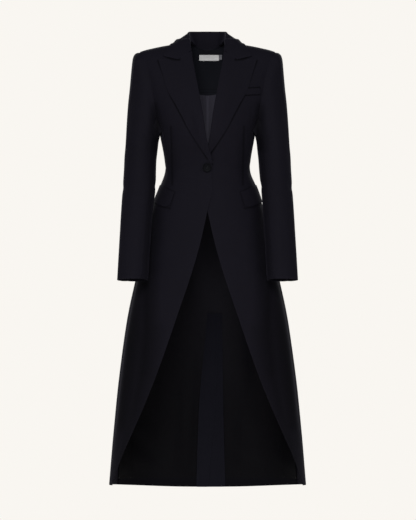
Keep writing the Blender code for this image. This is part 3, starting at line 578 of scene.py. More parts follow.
@dataclass
class Recipe:
    """A node tree, with short words for the nodes that the finishes are mixed from.

    Args:
        tree: the tree of a material or a group.
        results: the inputs of its shader, or of the group's output.
        given: what a group is given.
        material: the material that the tree belongs to.
    """

    tree: bpy.types.NodeTree
    results: Optional[object] = None
    given: Optional[object] = None
    material: Optional[Material] = None

    @classmethod
    def of_group(cls, name: str, outputs: Sequence[str], **inputs: Optional[float]) -> "Recipe":
        """Return the recipe of an empty shader group.

        Args:
            name: the group's name.
            outputs: the names of the numbers that it puts out.
            inputs: the first value of each input, or None for a place.
        """
        tree = bpy.data.node_groups.new(name, "ShaderNodeTree")
        for label, value in inputs.items():
            kind = "NodeSocketVector" if value is None else "NodeSocketFloat"
            socket = tree.interface.new_socket(label, in_out="INPUT", socket_type=kind)
            if value is not None:
                socket.default_value = value
        for label in outputs:
            tree.interface.new_socket(label, in_out="OUTPUT", socket_type="NodeSocketFloat")
        given = tree.nodes.new("NodeGroupInput").outputs
        return cls(tree, tree.nodes.new("NodeGroupOutput").inputs, given)

    @classmethod
    def of_finish(cls, name: str, tint: Tint) -> "Recipe":
        """Return the recipe of a new material, with the tint on the shader's own sockets."""
        material = bpy.data.materials.new(name)
        material.use_nodes = True
        tree = material.node_tree
        recipe = cls(tree, tree.nodes["Principled BSDF"].inputs, None, material)
        recipe.give({"Base Color": (*tint.colour, 1.0), "Roughness": tint.roughness,
                     "Specular IOR Level": tint.specular})
        return recipe

    def feed(self, sockets: object, sources: Sources) -> None:
        """Link each named socket to its source, or set it where the source is a plain value."""
        for key, source in sources.items():
            if isinstance(source, Socket):
                self.tree.links.new(source, sockets[key])
            else:
                sockets[key].default_value = source

    def give(self, sources: Sources) -> None:
        """Feed the tree's results."""
        self.feed(self.results, sources)

    def add(self, kind: str, sources: Sources, **settings: object) -> object:
        """Add a node.

        Args:
            kind: the node's type, without its first words.
            sources: what each input is fed by, a socket or a plain value.
            settings: the node's own settings.

        Returns:
            The node's outputs.
        """
        node = self.tree.nodes.new("ShaderNode" + kind)
        for name, value in settings.items():
            setattr(node, name, value)
        self.feed(node.inputs, sources)
        return node.outputs

    def use(self, group: bpy.types.NodeTree, **sources: object) -> object:
        """Place a shared group with its own values and return its outputs."""
        return self.add("Group", sources, node_tree=group)

    def math(self, how: str, *terms: object) -> Socket:
        """Return what a math node makes of sockets or numbers."""
        return self.add("Math", dict(enumerate(terms)), operation=how)[0]

    def plus(self, first: object, second: object) -> Socket:
        """Return the sum of two sockets or numbers."""
        return self.math("ADD", first, second)

    def less(self, first: object, second: object) -> Socket:
        """Return the first of two sockets or numbers less the second."""
        return self.math("SUBTRACT", first, second)

    def times(self, first: object, second: object) -> Socket:
        """Return the product of two sockets or numbers."""
        return self.math("MULTIPLY", first, second)

    def over(self, first: object, second: object) -> Socket:
        """Return the first of two sockets or numbers over the second."""
        return self.math("DIVIDE", first, second)

    def blend(self, first: Socket, share: float, second: Socket, other_share: float) -> Socket:
        """Return the sum of two sockets, each times its share."""
        return self.plus(self.times(first, share), self.times(second, other_share))

    def vector(self, how: str, *terms: object, out: str = "Vector") -> Socket:
        """Return what a vector node makes of sockets or places."""
        return self.add("VectorMath", dict(enumerate(terms)), operation=how)[out]

    def scaled(self, source: Socket, size: Socket) -> Socket:
        """Return a place or a colour times a number."""
        return self.add("VectorMath", {0: source, "Scale": size}, operation="SCALE")["Vector"]

    def split(self, place: Socket) -> object:
        """Return a place's three numbers."""
        return self.add("SeparateXYZ", {0: place})

    def noise(self, place: Socket, scale: object, detail: float) -> Socket:
        """Return cloudy noise at a place."""
        return self.add("TexNoise", {"Vector": place, "Scale": scale, "Detail": detail})[0]

    def ramp(self, value: Socket, start: float, end: float, low: float = 0.0, high: float = 1.0,
             kind: str = "SMOOTHSTEP") -> Socket:
        """Return low to high as a value goes from start to end."""
        span = {"Value": value, "From Min": start, "From Max": end, "To Min": low, "To Max": high}
        return self.add("MapRange", span, interpolation_type=kind)["Result"]

    def shade(self, tint: Tint, amount: Socket, low: float, high: float) -> Socket:
        """Return a tint's colour from low to high times its value as an amount goes from 0 to 1."""
        first, second = ((*(gain * c for c in tint.colour), 1.0) for gain in (low, high))
        return self.add("Mix", {"A": first, "B": second, "Factor": amount},
                        data_type="RGBA", clamp_factor=True)["Result"]

    def gloss(self, tint: Tint, amount: Socket, spread: float) -> Socket:
        """Return a tint's roughness, spread about its value as an amount goes from 0 to 1."""
        return self.plus(self.times(amount, spread), tint.roughness - spread / 2)

    def bump(self, height: Socket, depth: float) -> Socket:
        """Return the normal of a relief, its depth in millimetres."""
        return self.add("Bump", {"Distance": depth * MM, "Strength": 0.6, "Height": height})["Normal"]

    def cloth_place(self) -> Socket:
        """Return the cloth's own coordinates."""
        return self.add("UVMap", {}, uv_map="cloth")["UV"]

    def place(self) -> Socket:
        """Return the object's coordinates."""
        return self.add("TexCoord", {})["Object"]


class DyeRoom:
    """Builds the shared node groups once and mixes every material from them."""

    def __init__(self) -> None:
        """Build the shared groups."""
        self.weave = self._twill_group()
        self.mottle = self._mottle_group()
        self.shadow = self._shadow_group()

    @staticmethod
    def _twill_group() -> bpy.types.NodeTree:
        """Return the weave group: threads that cross on a diagonal, from cloth coordinates."""
        mix = Recipe.of_group("twill_weave", ("Height", "Tone"), Cloth=None, Thread=0.9)
        cloth = mix.given["Cloth"]
        parts = mix.split(cloth)
        pitch = mix.times(mix.given["Thread"], MM)
        across, down = mix.over(parts["X"], pitch), mix.over(parts["Y"], pitch)
        rib = mix.math("SINE", mix.times(mix.plus(across, down), math.pi))
        warp, weft = (mix.math("SINE", mix.times(run, 2 * math.pi)) for run in (across, down))
        height = mix.blend(rib, 0.6, mix.times(warp, weft), 0.4)
        slub = mix.noise(cloth, 900.0, 2.0)
        mix.give({"Height": mix.plus(height, mix.times(slub, 0.5)),
                  "Tone": mix.plus(mix.times(height, 0.25), slub)})
        return mix.tree

    @staticmethod
    def _mottle_group() -> bpy.types.NodeTree:
        """Return the group of slow tone changes that pressing and wear leave in cloth, and of its lighter
        edges: wear and a painted edge sheen.
        """
        mix = Recipe.of_group("pressed_mottle", ("Tone", "WearAndSheen"), Place=None, Scale=9.0, Edge=0.0)
        coarse, fine = (mix.noise(mix.given["Place"], mix.times(mix.given["Scale"], factor), 3.0)
                        for factor in (1.0, 6.0))
        mix.give({"Tone": mix.blend(coarse, 0.65, fine, 0.35),
                  "WearAndSheen": mix.times(mix.given["Edge"], mix.plus(fine, 0.4))})
        return mix.tree

    @staticmethod
    def _shadow_group() -> bpy.types.NodeTree:
        """Return the group that darkens cloth along one straight line seen from the front."""
        mix = Recipe.of_group("edge_shadow", ("Shadow",), Place=None, From=None, To=None,
                              Width=4.0, Strength=0.7, Before=0.0)
        span = mix.vector("SUBTRACT", mix.given["To"], mix.given["From"])
        run = mix.vector("SUBTRACT", mix.given["Place"], mix.given["From"])
        along = mix.over(*(mix.vector("DOT_PRODUCT", way, span, out="Value") for way in (run, span)))
        along = mix.math("MINIMUM", mix.math("MAXIMUM", along, 0.0), 1.0)
        gap = mix.vector("DISTANCE", run, mix.scaled(span, along), out="Value")
        far = mix.over(mix.times(gap, 1 / MM), mix.given["Width"])
        near = mix.times(mix.math("MAXIMUM", mix.less(1.0, far), 0.0), mix.given["Strength"])
        mix.give({"Shadow": mix.math("MAXIMUM", near, mix.given["Before"])})
        return mix.tree

    def _shadows(self, mix: Recipe, place: Socket, lines: Sequence[Shade], side: int) -> Socket:
        """Chain the shadow group once for each line and return the darkest of them."""
        flat = mix.vector("MULTIPLY", place, (float(side), 0.0, 1.0))
        darkest = 0.0
        for line in lines:
            start, end = ((u * MM, 0.0, v * MM) for u, v in (line.start, line.end))
            darkest = mix.use(self.shadow, Place=flat, From=start, To=end, Width=line.width,
                              Strength=line.strength, Before=darkest)["Shadow"]
        return darkest

    @lru_cache(maxsize=None)
    def wool(self, finish: WoolFinish, lines: Sequence[Shade] = (), side: int = 1,
             label: str = "", front_only: bool = True) -> Material:
        """Return the twill of a finish, with the shadow lines of the pieces that lie on it.

        Args:
            finish: the cloth's colour, thread and relief.
            lines: the shadow lines, in distance from the centre and height.
            side: 1 on the wearer's left, -1 on the right.
            label: what is added to the finish's name.
            front_only: whether the lines fade out towards the garment's back.
        """
        mix = Recipe.of_finish(finish.name + label, finish.tint)
        place = mix.place()
        edge = mix.add("Attribute", {}, attribute_name="pressed_edge")["Fac"]
        weave = mix.use(self.weave, Cloth=mix.cloth_place(), Thread=finish.thread)
        mottle = mix.use(self.mottle, Place=place, Scale=finish.patches, Edge=edge)
        tone = mix.blend(mottle["Tone"], 0.7, weave["Tone"], 0.3)
        # The pressed edges made lighter: wear, and a painted sheen.
        tone = mix.plus(tone, mix.times(mottle["WearAndSheen"], finish.edge))
        colour = mix.shade(finish.tint, tone, 1.0 - finish.spread, 1.0 + finish.spread)
        height = mix.times(weave["Height"], finish.relief)
        if lines:
            shadow = self._shadows(mix, place, lines, side)
            if front_only:
                shadow = mix.times(shadow, mix.ramp(mix.split(place)["Y"], *finish.front_fade))
            colour = mix.scaled(colour, mix.less(1.0, shadow))
            height = mix.less(height, mix.times(shadow, finish.sunk))
        mix.give({"Base Color": colour, "Roughness": mix.gloss(finish.tint, mottle["Tone"], finish.gloss),
                  "Sheen Weight": finish.sheen, "Sheen Roughness": finish.sheen_roughness,
                  "Sheen Tint": (*finish.sheen_tint, 1.0), "Normal": mix.bump(height, 0.5)})
        return mix.material

    def satin(self, finish: SatinFinish) -> Material:
        """Return the lining satin: fine lengthwise threads, slow gloss changes, painted light and reflection
        on its top, painted shade towards the hem and a painted highlight down the centre-back pleat.
        """
        mix = Recipe.of_finish(finish.name, finish.tint)
        cloth, place = mix.cloth_place(), mix.place()
        lengthwise = mix.add("Mapping", {"Vector": cloth, "Scale": (1.0, finish.slub_stretch, 1.0)})[0]
        slub = mix.noise(lengthwise, finish.slub, 2.0)
        weave = mix.use(self.weave, Cloth=cloth, Thread=finish.thread)
        mottle = mix.use(self.mottle, Place=place, Scale=finish.patches)
        tone = mix.blend(slub, 0.5, mottle["Tone"], 0.5)
        parts = mix.split(place)
        # Painted light and reflection: the upper lining made lighter.
        lit_top = mix.ramp(parts["Z"], finish.lit_from, finish.lit_to, 1.0, finish.lit_gain)
        # Painted shade: the lining darker towards the hem, lighter going up.
        climb = mix.ramp(parts["Z"], finish.low, finish.high, kind="LINEAR")
        gain = mix.plus(mix.times(mix.math("POWER", climb, 2.0), finish.rise), finish.low_gain)
        # Painted highlight down the centre-back pleat, fading out where the painted top light ends.
        off = mix.over(mix.math("ABSOLUTE", parts["X"]), finish.pleat_highlight_width * MM)
        line = mix.times(mix.math("MAXIMUM", mix.less(1.0, off), 0.0), mix.less(lit_top, 1.0))
        line = mix.plus(mix.times(line, finish.pleat_highlight_gain), 1.0)
        colour = mix.scaled(mix.shade(finish.tint, tone, *finish.span), mix.times(gain, mix.times(lit_top, line)))
        height = mix.blend(slub, 0.3, weave["Height"], 0.05)
        mix.give({"Base Color": colour, "Roughness": mix.gloss(finish.tint, slub, finish.gloss),
                  "Normal": mix.bump(height, 0.25)})
        return mix.material

    def tape(self, finish: LabelFinish) -> Material:
        """Return the woven tape of a bare label."""
        mix = Recipe.of_finish(finish.name, finish.tint)
        weave = mix.use(self.weave, Cloth=mix.cloth_place(), Thread=finish.thread)
        mottle = mix.use(self.mottle, Place=mix.place(), Scale=finish.patches)
        tone = mix.blend(weave["Tone"], 0.5, mottle["Tone"], 0.5)
        mix.give({"Base Color": mix.shade(finish.tint, tone, *finish.span),
                  "Normal": mix.bump(weave["Height"], 0.12)})
        return mix.material

    def horn(self, finish: HornFinish) -> Material:
        """Return the polished button stock."""
        mix = Recipe.of_finish(finish.name, finish.tint)
        tone = mix.use(self.mottle, Place=mix.place(), Scale=finish.patches)["Tone"]
        mix.give({"Base Color": mix.shade(finish.tint, tone, *finish.span),
                  "Roughness": mix.gloss(finish.tint, tone, finish.gloss)})
        return mix.material

    def thread(self, finish: ThreadFinish) -> Material:
        """Return the twisted sewing thread."""
        mix = Recipe.of_finish(finish.name, finish.tint)
        weave = mix.use(self.weave, Cloth=mix.place(), Thread=finish.thread)
        mix.give({"Base Color": mix.shade(finish.tint, weave["Tone"], *finish.span),
                  "Normal": mix.bump(weave["Height"], 0.1)})
        return mix.material


def deselect() -> None:
    """Leave object mode with nothing selected."""
    if bpy.context.object is not None and bpy.context.object.mode != "OBJECT":
        bpy.ops.object.mode_set(mode="OBJECT")
    bpy.ops.object.select_all(action="DESELECT")


def pick(piece: Piece) -> None:
    """Select one piece alone and make it active."""
    deselect()
    piece.select_set(True)
    bpy.context.view_layer.objects.active = piece


def places_of(mesh: bpy.types.Mesh) -> np.ndarray:
    """Return a mesh's vertex places as N by 3 numbers."""
    flat = np.empty(len(mesh.vertices) * 3, np.float32)
    mesh.vertices.foreach_get("co", flat)
    return flat.reshape(-1, 3).astype(float)


def set_places(mesh: bpy.types.Mesh, places: np.ndarray) -> None:
    """Move a mesh's vertices to N by 3 places."""
    mesh.vertices.foreach_set("co", places.astype(np.float32).ravel())
    mesh.update()


@dataclass
class ClothPiece:
    """One sewn piece of cloth: its solid, its cut, its material and its drape.

    Args:
        node: the solid that it stands for.
        cut: width, length and area of the flat cut, in metres and square metres; not used.
        material: its cloth.
        rests_on: the pieces that carry it; not used.
        drape: the relief that it takes.
        slot: the record's material slot; not used.
        level: how often its wall is refined.
        hold: how it is carried; not used.
        allowance: how far its rim is let out, in millimetres.
        rounds: how often the refined wall is brought back to the solid's points.
        calming: how often the refined wall is evened out.
        fit: what is done to its places before it is draped.
    """

    node: str
    cut: Cut
    material: Material
    rests_on: Tuple[str, ...]
    drape: Drape
    slot: str = "shell"
    level: int = 2
    hold: Hold = Hold.HUNG
    allowance: float = 0.22
    rounds: int = 3
    calming: int = 0
    fit: Optional[Callable[[np.ndarray], np.ndarray]] = None
    rim_angle: float = math.radians(72)
    turn_angle: float = math.radians(32)
    smooth_angle: float = math.radians(42)

    def build(self) -> Piece:
        piece = self._copy_of_solid()
        self._weld(piece)
        self._lay_flat(piece)
        self._refine(piece)
        if self.fit is not None:
            set_places(piece.data, self.fit(places_of(piece.data)))
        set_places(piece.data, self.drape.press(places_of(piece.data)))
        self._mark_edges(piece)
        pick(piece)
        bpy.ops.object.shade_smooth_by_angle(angle=self.smooth_angle)
        piece.data.materials.clear()
        piece.data.materials.append(self.material)
        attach(piece, "root")
        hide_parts(self.node)
        half = sum(face.area for face in piece.data.polygons) / 2
        log.info("%s: %d faces, %.4f m2 of cloth", piece.name, len(piece.data.polygons), half)
        return piece

    def _copy_of_solid(self) -> Piece:
        """Return a free copy of the solid's mesh."""
        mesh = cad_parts[self.node].data.copy()
        piece = bpy.data.objects.new(self.node + "_cloth", mesh)
        bpy.context.scene.collection.objects.link(piece)
        return piece

    def _weld(self, piece: Piece) -> None:
        """Join the loose triangles to quads and crease the cut edges."""
        pick(piece)
        bpy.ops.object.mode_set(mode="EDIT")
        bpy.ops.mesh.select_all(action="SELECT")
        bpy.ops.mesh.remove_doubles(threshold=0.00001)
        bpy.ops.mesh.tris_convert_to_quads(face_threshold=math.radians(38), shape_threshold=math.radians(75))
        bpy.ops.object.mode_set(mode="OBJECT")
        shape = bmesh.new()
        shape.from_mesh(piece.data)
        crease = shape.edges.layers.float.new("crease_edge")
        for edge in shape.edges:
            if len(edge.link_faces) == 2 and edge.calc_face_angle() > self.rim_angle:
                edge[crease] = 1.0
                edge.seam = True
        self._fix_corners(shape, crease)
        shape.to_mesh(piece.data)
        shape.free()

    def _fix_corners(self, shape: bmesh.types.BMesh, crease: bmesh.types.BMLayerItem) -> None:
        """Keep the rim's own corners sharp and let the seam allowance out along the rim."""
        corner = shape.verts.layers.float.new("crease_vert")
        moves = []
        for vert in shape.verts:
            rim = [edge for edge in vert.link_edges if edge[crease] > 0.5]
            if len(rim) < 2:
                continue
            ways = [(edge.other_vert(vert).co - vert.co).normalized() for edge in rim]
            if len(ways) != 2 or ways[0].angle(-ways[1], 0.0) > self.turn_angle:
                vert[corner] = 1.0
            inner = [edge.other_vert(vert).co for edge in vert.link_edges
                     if edge[crease] < 0.5 and edge.calc_length() > 4.0 * MM]
            if inner:
                middle = sum(inner, Vector()) / len(inner)
                away = (vert.co - middle).normalized()
                moves.append((vert, away * self.allowance * MM))
        for vert, move in moves:
            vert.co += move

    def _lay_flat(self, piece: Piece) -> None:
        """Unwrap the wall as the flat cut, at its real size, with the grain down the piece."""
        mesh = piece.data
        while mesh.uv_layers:
            mesh.uv_layers.remove(mesh.uv_layers[0])
        mesh.uv_layers.new(name="cloth")
        pick(piece)
        bpy.ops.object.mode_set(mode="EDIT")
        bpy.ops.mesh.select_all(action="SELECT")
        bpy.ops.uv.unwrap(method="ANGLE_BASED", margin=0.002)
        bpy.ops.object.mode_set(mode="OBJECT")
        flat = np.empty(len(mesh.loops) * 2, np.float32)
        mesh.uv_layers["cloth"].data.foreach_get("uv", flat)
        flat = flat.reshape(-1, 2).astype(float)
        places = places_of(mesh)
        real, drawn = 0.0, 0.0
        for face in mesh.polygons:
            ring = flat[face.loop_start:face.loop_start + face.loop_total]
            turned = np.roll(ring, -1, axis=0)
            real += face.area
            drawn += abs(np.sum(ring[:, 0] * turned[:, 1] - ring[:, 1] * turned[:, 0])) / 2
        corner = np.empty(len(mesh.loops), np.int32)
        mesh.loops.foreach_get("vertex_index", corner)
        height = places[corner, 2]
        table = np.column_stack((flat - flat.mean(0), np.ones(len(flat))))
        slope = np.linalg.lstsq(table, height, rcond=None)[0][:2]
        size = np.linalg.norm(slope)
        up = slope / size if size > 1e-6 else np.array((0.0, 1.0))
        turn = np.array(((up[1], up[0]), (-up[0], up[1])))
        scaled = (flat @ turn) * math.sqrt(real / max(drawn, 1e-12))
        mesh.uv_layers["cloth"].data.foreach_set("uv", scaled.astype(np.float32).ravel())

    def _refine(self, piece: Piece) -> None:
        """Refine the wall to a smooth one that still passes through the solid's points."""
        pick(piece)
        smoother = piece.modifiers.new("smooth_wall", "SUBSURF")
        smoother.levels = self.level
        smoother.render_levels = self.level
        goal = places_of(piece.data)
        guide = goal.copy()
        for _ in range(self.rounds):
            graph = bpy.context.evaluated_depsgraph_get()
            reached = places_of(piece.evaluated_get(graph).data)[:len(goal)]
            guide = guide + (goal - reached)
            set_places(piece.data, guide)
            bpy.context.view_layer.update()
        bpy.ops.object.modifier_apply(modifier=smoother.name)
        if self.calming:
            self._calm(piece)

    def _calm(self, piece: Piece) -> None:
        """Even out the wall between its cut edges."""
        pick(piece)
        bpy.ops.object.mode_set(mode="EDIT")
        bpy.ops.mesh.select_mode(type="VERT")
        bpy.ops.mesh.select_all(action="DESELECT")
        bpy.ops.object.mode_set(mode="OBJECT")
        piece.data.vertices.foreach_set("select", ~self._on_cut_edge(piece.data))
        bpy.ops.object.mode_set(mode="EDIT")
        bpy.ops.mesh.vertices_smooth(factor=0.5, repeat=self.calming)
        bpy.ops.object.mode_set(mode="OBJECT")

    def _mark_edges(self, piece: Piece) -> None:
        """Store which points lie on the pressed edge of the piece."""
        mask = self._on_cut_edge(piece.data).astype(np.float32)
        piece.data.attributes.new("pressed_edge", "FLOAT", "POINT").data.foreach_set("value", mask)

    @staticmethod
    def _on_cut_edge(mesh: bpy.types.Mesh) -> np.ndarray:
        """Return which of a mesh's points lie on its creased cut edges."""
        found = np.zeros(len(mesh.vertices), bool)
        sharp = mesh.attributes.get("crease_edge")
        if sharp is not None:
            creased = np.zeros(len(mesh.edges), np.float32)
            sharp.data.foreach_get("value", creased)
            ends = np.empty(len(mesh.edges) * 2, np.int32)
            mesh.edges.foreach_get("vertices", ends)
            found[ends.reshape(-1, 2)[creased > 0.5].ravel()] = True
        return found


@dataclass
class SubAssembly:
    """A named group of cloth pieces that are made alike."""

    dye: DyeRoom
    wool: WoolFinish = field(default_factory=WoolFinish)
    body: BodyDrape = field(default_factory=BodyDrape)

    def sew(self, node: str, cut: Cut, material: Material, *rests_on: str, **ways: object) -> None:
        """Build one piece, on the body's drape unless its ways name another.

        Args:
            node: the solid that it stands for.
            cut: its flat cut.
            material: its cloth.
            rests_on: the pieces that carry it.
            ways: what else sets it apart, as ClothPiece names it.
        """
        ClothPiece(node, cut, material, rests_on, **{"drape": self.body, **ways}).build()


# Painted shadow in the gap between the collar's leaf and each lapel.
GORGE_LINES = trail((118, -33, 5.0, 0.8), (98, -42, 5.0, 0.8), (78, -43))
# Painted shadow round the hip flaps.
FLAP_LINES = (
    *trail((133, -392, 3.4, 0.45), (91, -413, 3.2, 0.4), (104, -458)),
    *trail((104, -458.5, 4.2, 0.6), (150, -449)),
)
# Painted shade on the skirt's sides, darker where they turn away and under the sleeves, and a painted shadow
# under each cuff.
SKIRT_LINES = (
    *trail((152, -466, 36.0, 0.5), (172, -620, 42.0, 0.6), (168, -800, 56.0, 0.58),
           (180, -920, 50.0, 0.52), (212, -1040, 44.0, 0.5), (250, -1190)),
    *trail((204, -560, 60.0, 0.75), (214, -800, 64.0, 0.75), (246, -1060)),
    *trail((252, -1060, 36.0, 0.6), (276, -1230)),
    *trail((165, -668, 9.0, 0.6), (204, -672)),
)
# Painted shade under the arm and down each sleeve's inner side.
SLEEVE_LINES = (
    *trail((134, -180, 30.0, 0.7), (146, -290)),
    *trail((150, -290, 20.0, 0.34), (158, -434, 18.0, 0.4), (172, -668)),
)
FACING_LINES = tuple(Shade((-70, z), (70, z), 1.7, 0.4) for z in (-123, -131, -139))


@dataclass
class Fronts(SubAssembly):
    """The two fronts with their long darts and cutaway edges."""

    cut: Cut = (0.330, 1.262, 0.2207)
    # Painted shadow beside the lapels' outer edges and under the arms, a painted dark line down each dart's
    # seam, and the gorge, flap and skirt painted shade.
    lines: Tuple[Shade, ...] = (
        *trail((138, -45, 5.0, 0.7), (120, -91, 5.0, 0.8), (103, -143, 5.5, 0.85), (67, -210, 6.0, 0.9),
               (47.6, -244, 6.5, 0.9), (0, -318)),
        *trail((102, -230, 5.0, 0.55), (100, -300, 5.0, 0.55), (98.5, -392)),
        *trail((146, -170, 12.0, 0.55), (134, -220, 12.0, 0.6), (126, -262)),
        *GORGE_LINES, *FLAP_LINES, *SKIRT_LINES,
    )
    # Painted shadow round the chest welt.
    welt_lines: Tuple[Shade, ...] = (
        *trail((99, -123.5, 3.6, 0.7), (146, -120)),
        *trail((99, -143, 4.4, 0.85), (146, -139.5)),
        *trail((146, -120, 3.2, 0.7), (146, -139.5)),
    )

    def build(self) -> None:
        """Make both fronts."""
        for side, sign in SIDES:
            lines = self.lines + (self.welt_lines if sign > 0 else ())
            cloth = self.dye.wool(self.wool, lines, sign, "_front_" + side)
            self.sew("front_" + side, self.cut, cloth, "side_" + side, "back_" + side, level=3)


@dataclass
class SidesAndBacks(SubAssembly):
    """The side panels under the arms and the two backs."""

    side_cut: Cut = (0.225, 1.000, 0.1159)
    back_cut: Cut = (0.340, 1.262, 0.2464)

    def build(self) -> None:
        """Make both side panels and both backs."""
        cloth = self.dye.wool(self.wool)
        for side, sign in SIDES:
            # The side panels carry the painted shade of the flaps and the skirt.
            shaded = self.dye.wool(self.wool, FLAP_LINES + SKIRT_LINES, sign, "_side_" + side)
            self.sew("side_" + side, self.side_cut, shaded, "back_" + side, level=3)
            self.sew("back_" + side, self.back_cut, cloth, "collar", level=3)


@dataclass
class Lapels(SubAssembly):
    """The peak lapels, rolled back on the fronts.

    The rows of edges are height, the rolled edge's reach, the outer edge's reach and the trim.
    """

    cut: Cut = (0.140, 0.330, 0.0233)
    edges: Rows = (
        (-115, 27, 114, 0), (-140, 22, 104.7, 1), (-170, 16, 89.8, 3.6), (-200, 11, 74, 3.8),
        (-228, 6, 58, 1.2), (-250, 2, 43.6, 0), (-290, -8, 17, 0))

    def build(self) -> None:
        """Make both lapels."""
        for side, sign in SIDES:
            cloth = self.dye.wool(self.wool, GORGE_LINES, sign, "_lapel_" + side)
            self.sew("lapel_" + side, self.cut, cloth, "front_" + side, level=3, hold=Hold.FOLDED,
                     fit=self.trim_edge)

    def trim_edge(self, places: np.ndarray) -> np.ndarray:
        """Return a lapel's places with its outer edge brought in, the rolled edge kept."""
        x, _, z = (places / MM).T
        side = np.sign(np.median(x))
        roll, outer, trim = rows_at(self.edges, z)
        share = np.clip((x * side - roll) / (outer - roll), 0.0, 1.1)
        trimmed = places.copy()
        trimmed[:, 0] -= side * trim * share ** 2 * MM
        return trimmed


@dataclass
class Collar(SubAssembly):
    """The collar's stand and fall in one folded strip.

    Its roll is eased out most at roll_height, over roll_span up and down, in front of roll_front
    and inside roll_reach, in millimetres.
    """

    cut: Cut = (0.105, 0.520, 0.0360)
    roll_ease: float = 2.6
    roll_height: float = -17.0
    roll_span: float = 13.0
    roll_front: float = -6.0
    roll_reach: float = 42.0

    def build(self) -> None:
        """Make the collar."""
        self.sew("collar", self.cut, self.dye.wool(self.wool), "back_left", "back_right", "front_left",
                 "front_right", hold=Hold.FOLDED, rounds=1, calming=8, fit=self.ease_roll)

    def ease_roll(self, places: np.ndarray) -> np.ndarray:
        """Return the collar's places with the roll's lower end brought out to the lapels' roll."""
        x, y, z = (places / MM).T
        low = np.exp(-(((z - self.roll_height) / self.roll_span) ** 2))
        low = low * smooth_step((self.roll_front - y) / 16.0)
        inside = 1.0 - smooth_step((np.abs(x) - self.roll_reach) / 20.0)
        eased = places.copy()
        eased[:, 0] += np.sign(x) * self.roll_ease * low * inside * MM
        return eased


@dataclass
class Sleeves(SubAssembly):
    """Both two-piece sleeves, bent forward at the elbow."""

    top_cut: Cut = (0.195, 0.675, 0.1096)
    under_cut: Cut = (0.150, 0.560, 0.0664)
    allowance: float = 0.7

    def build(self) -> None:
        """Make the upper and under pieces of both sleeves."""
        for side, sign in SIDES:
            cloth = self.dye.wool(self.wool, SLEEVE_LINES, sign, "_sleeve_" + side)
            ways = {"drape": SleeveDrape(side=sign), "allowance": self.allowance}
            self.sew("sleeve_top_" + side, self.top_cut, cloth, "front_" + side, "back_" + side,
                     level=3, **ways)
            self.sew("sleeve_under_" + side, self.under_cut, cloth, "sleeve_top_" + side, **ways)


@dataclass
class Pockets(SubAssembly):
    """The slanted hip flaps and the chest welt."""

    flap_cut: Cut = (0.160, 0.0475, 0.0071)
    welt_cut: Cut = (0.072, 0.0175, 0.0012)

    def build(self) -> None:
        """Make the flaps and the welt."""
        cloth = self.dye.wool(self.wool)
        for side, _ in SIDES:
            self.sew("flap_" + side, self.flap_cut, cloth, "front_" + side)
        self.sew("chest_welt", self.welt_cut, cloth, "front_left", hold=Hold.LAID)


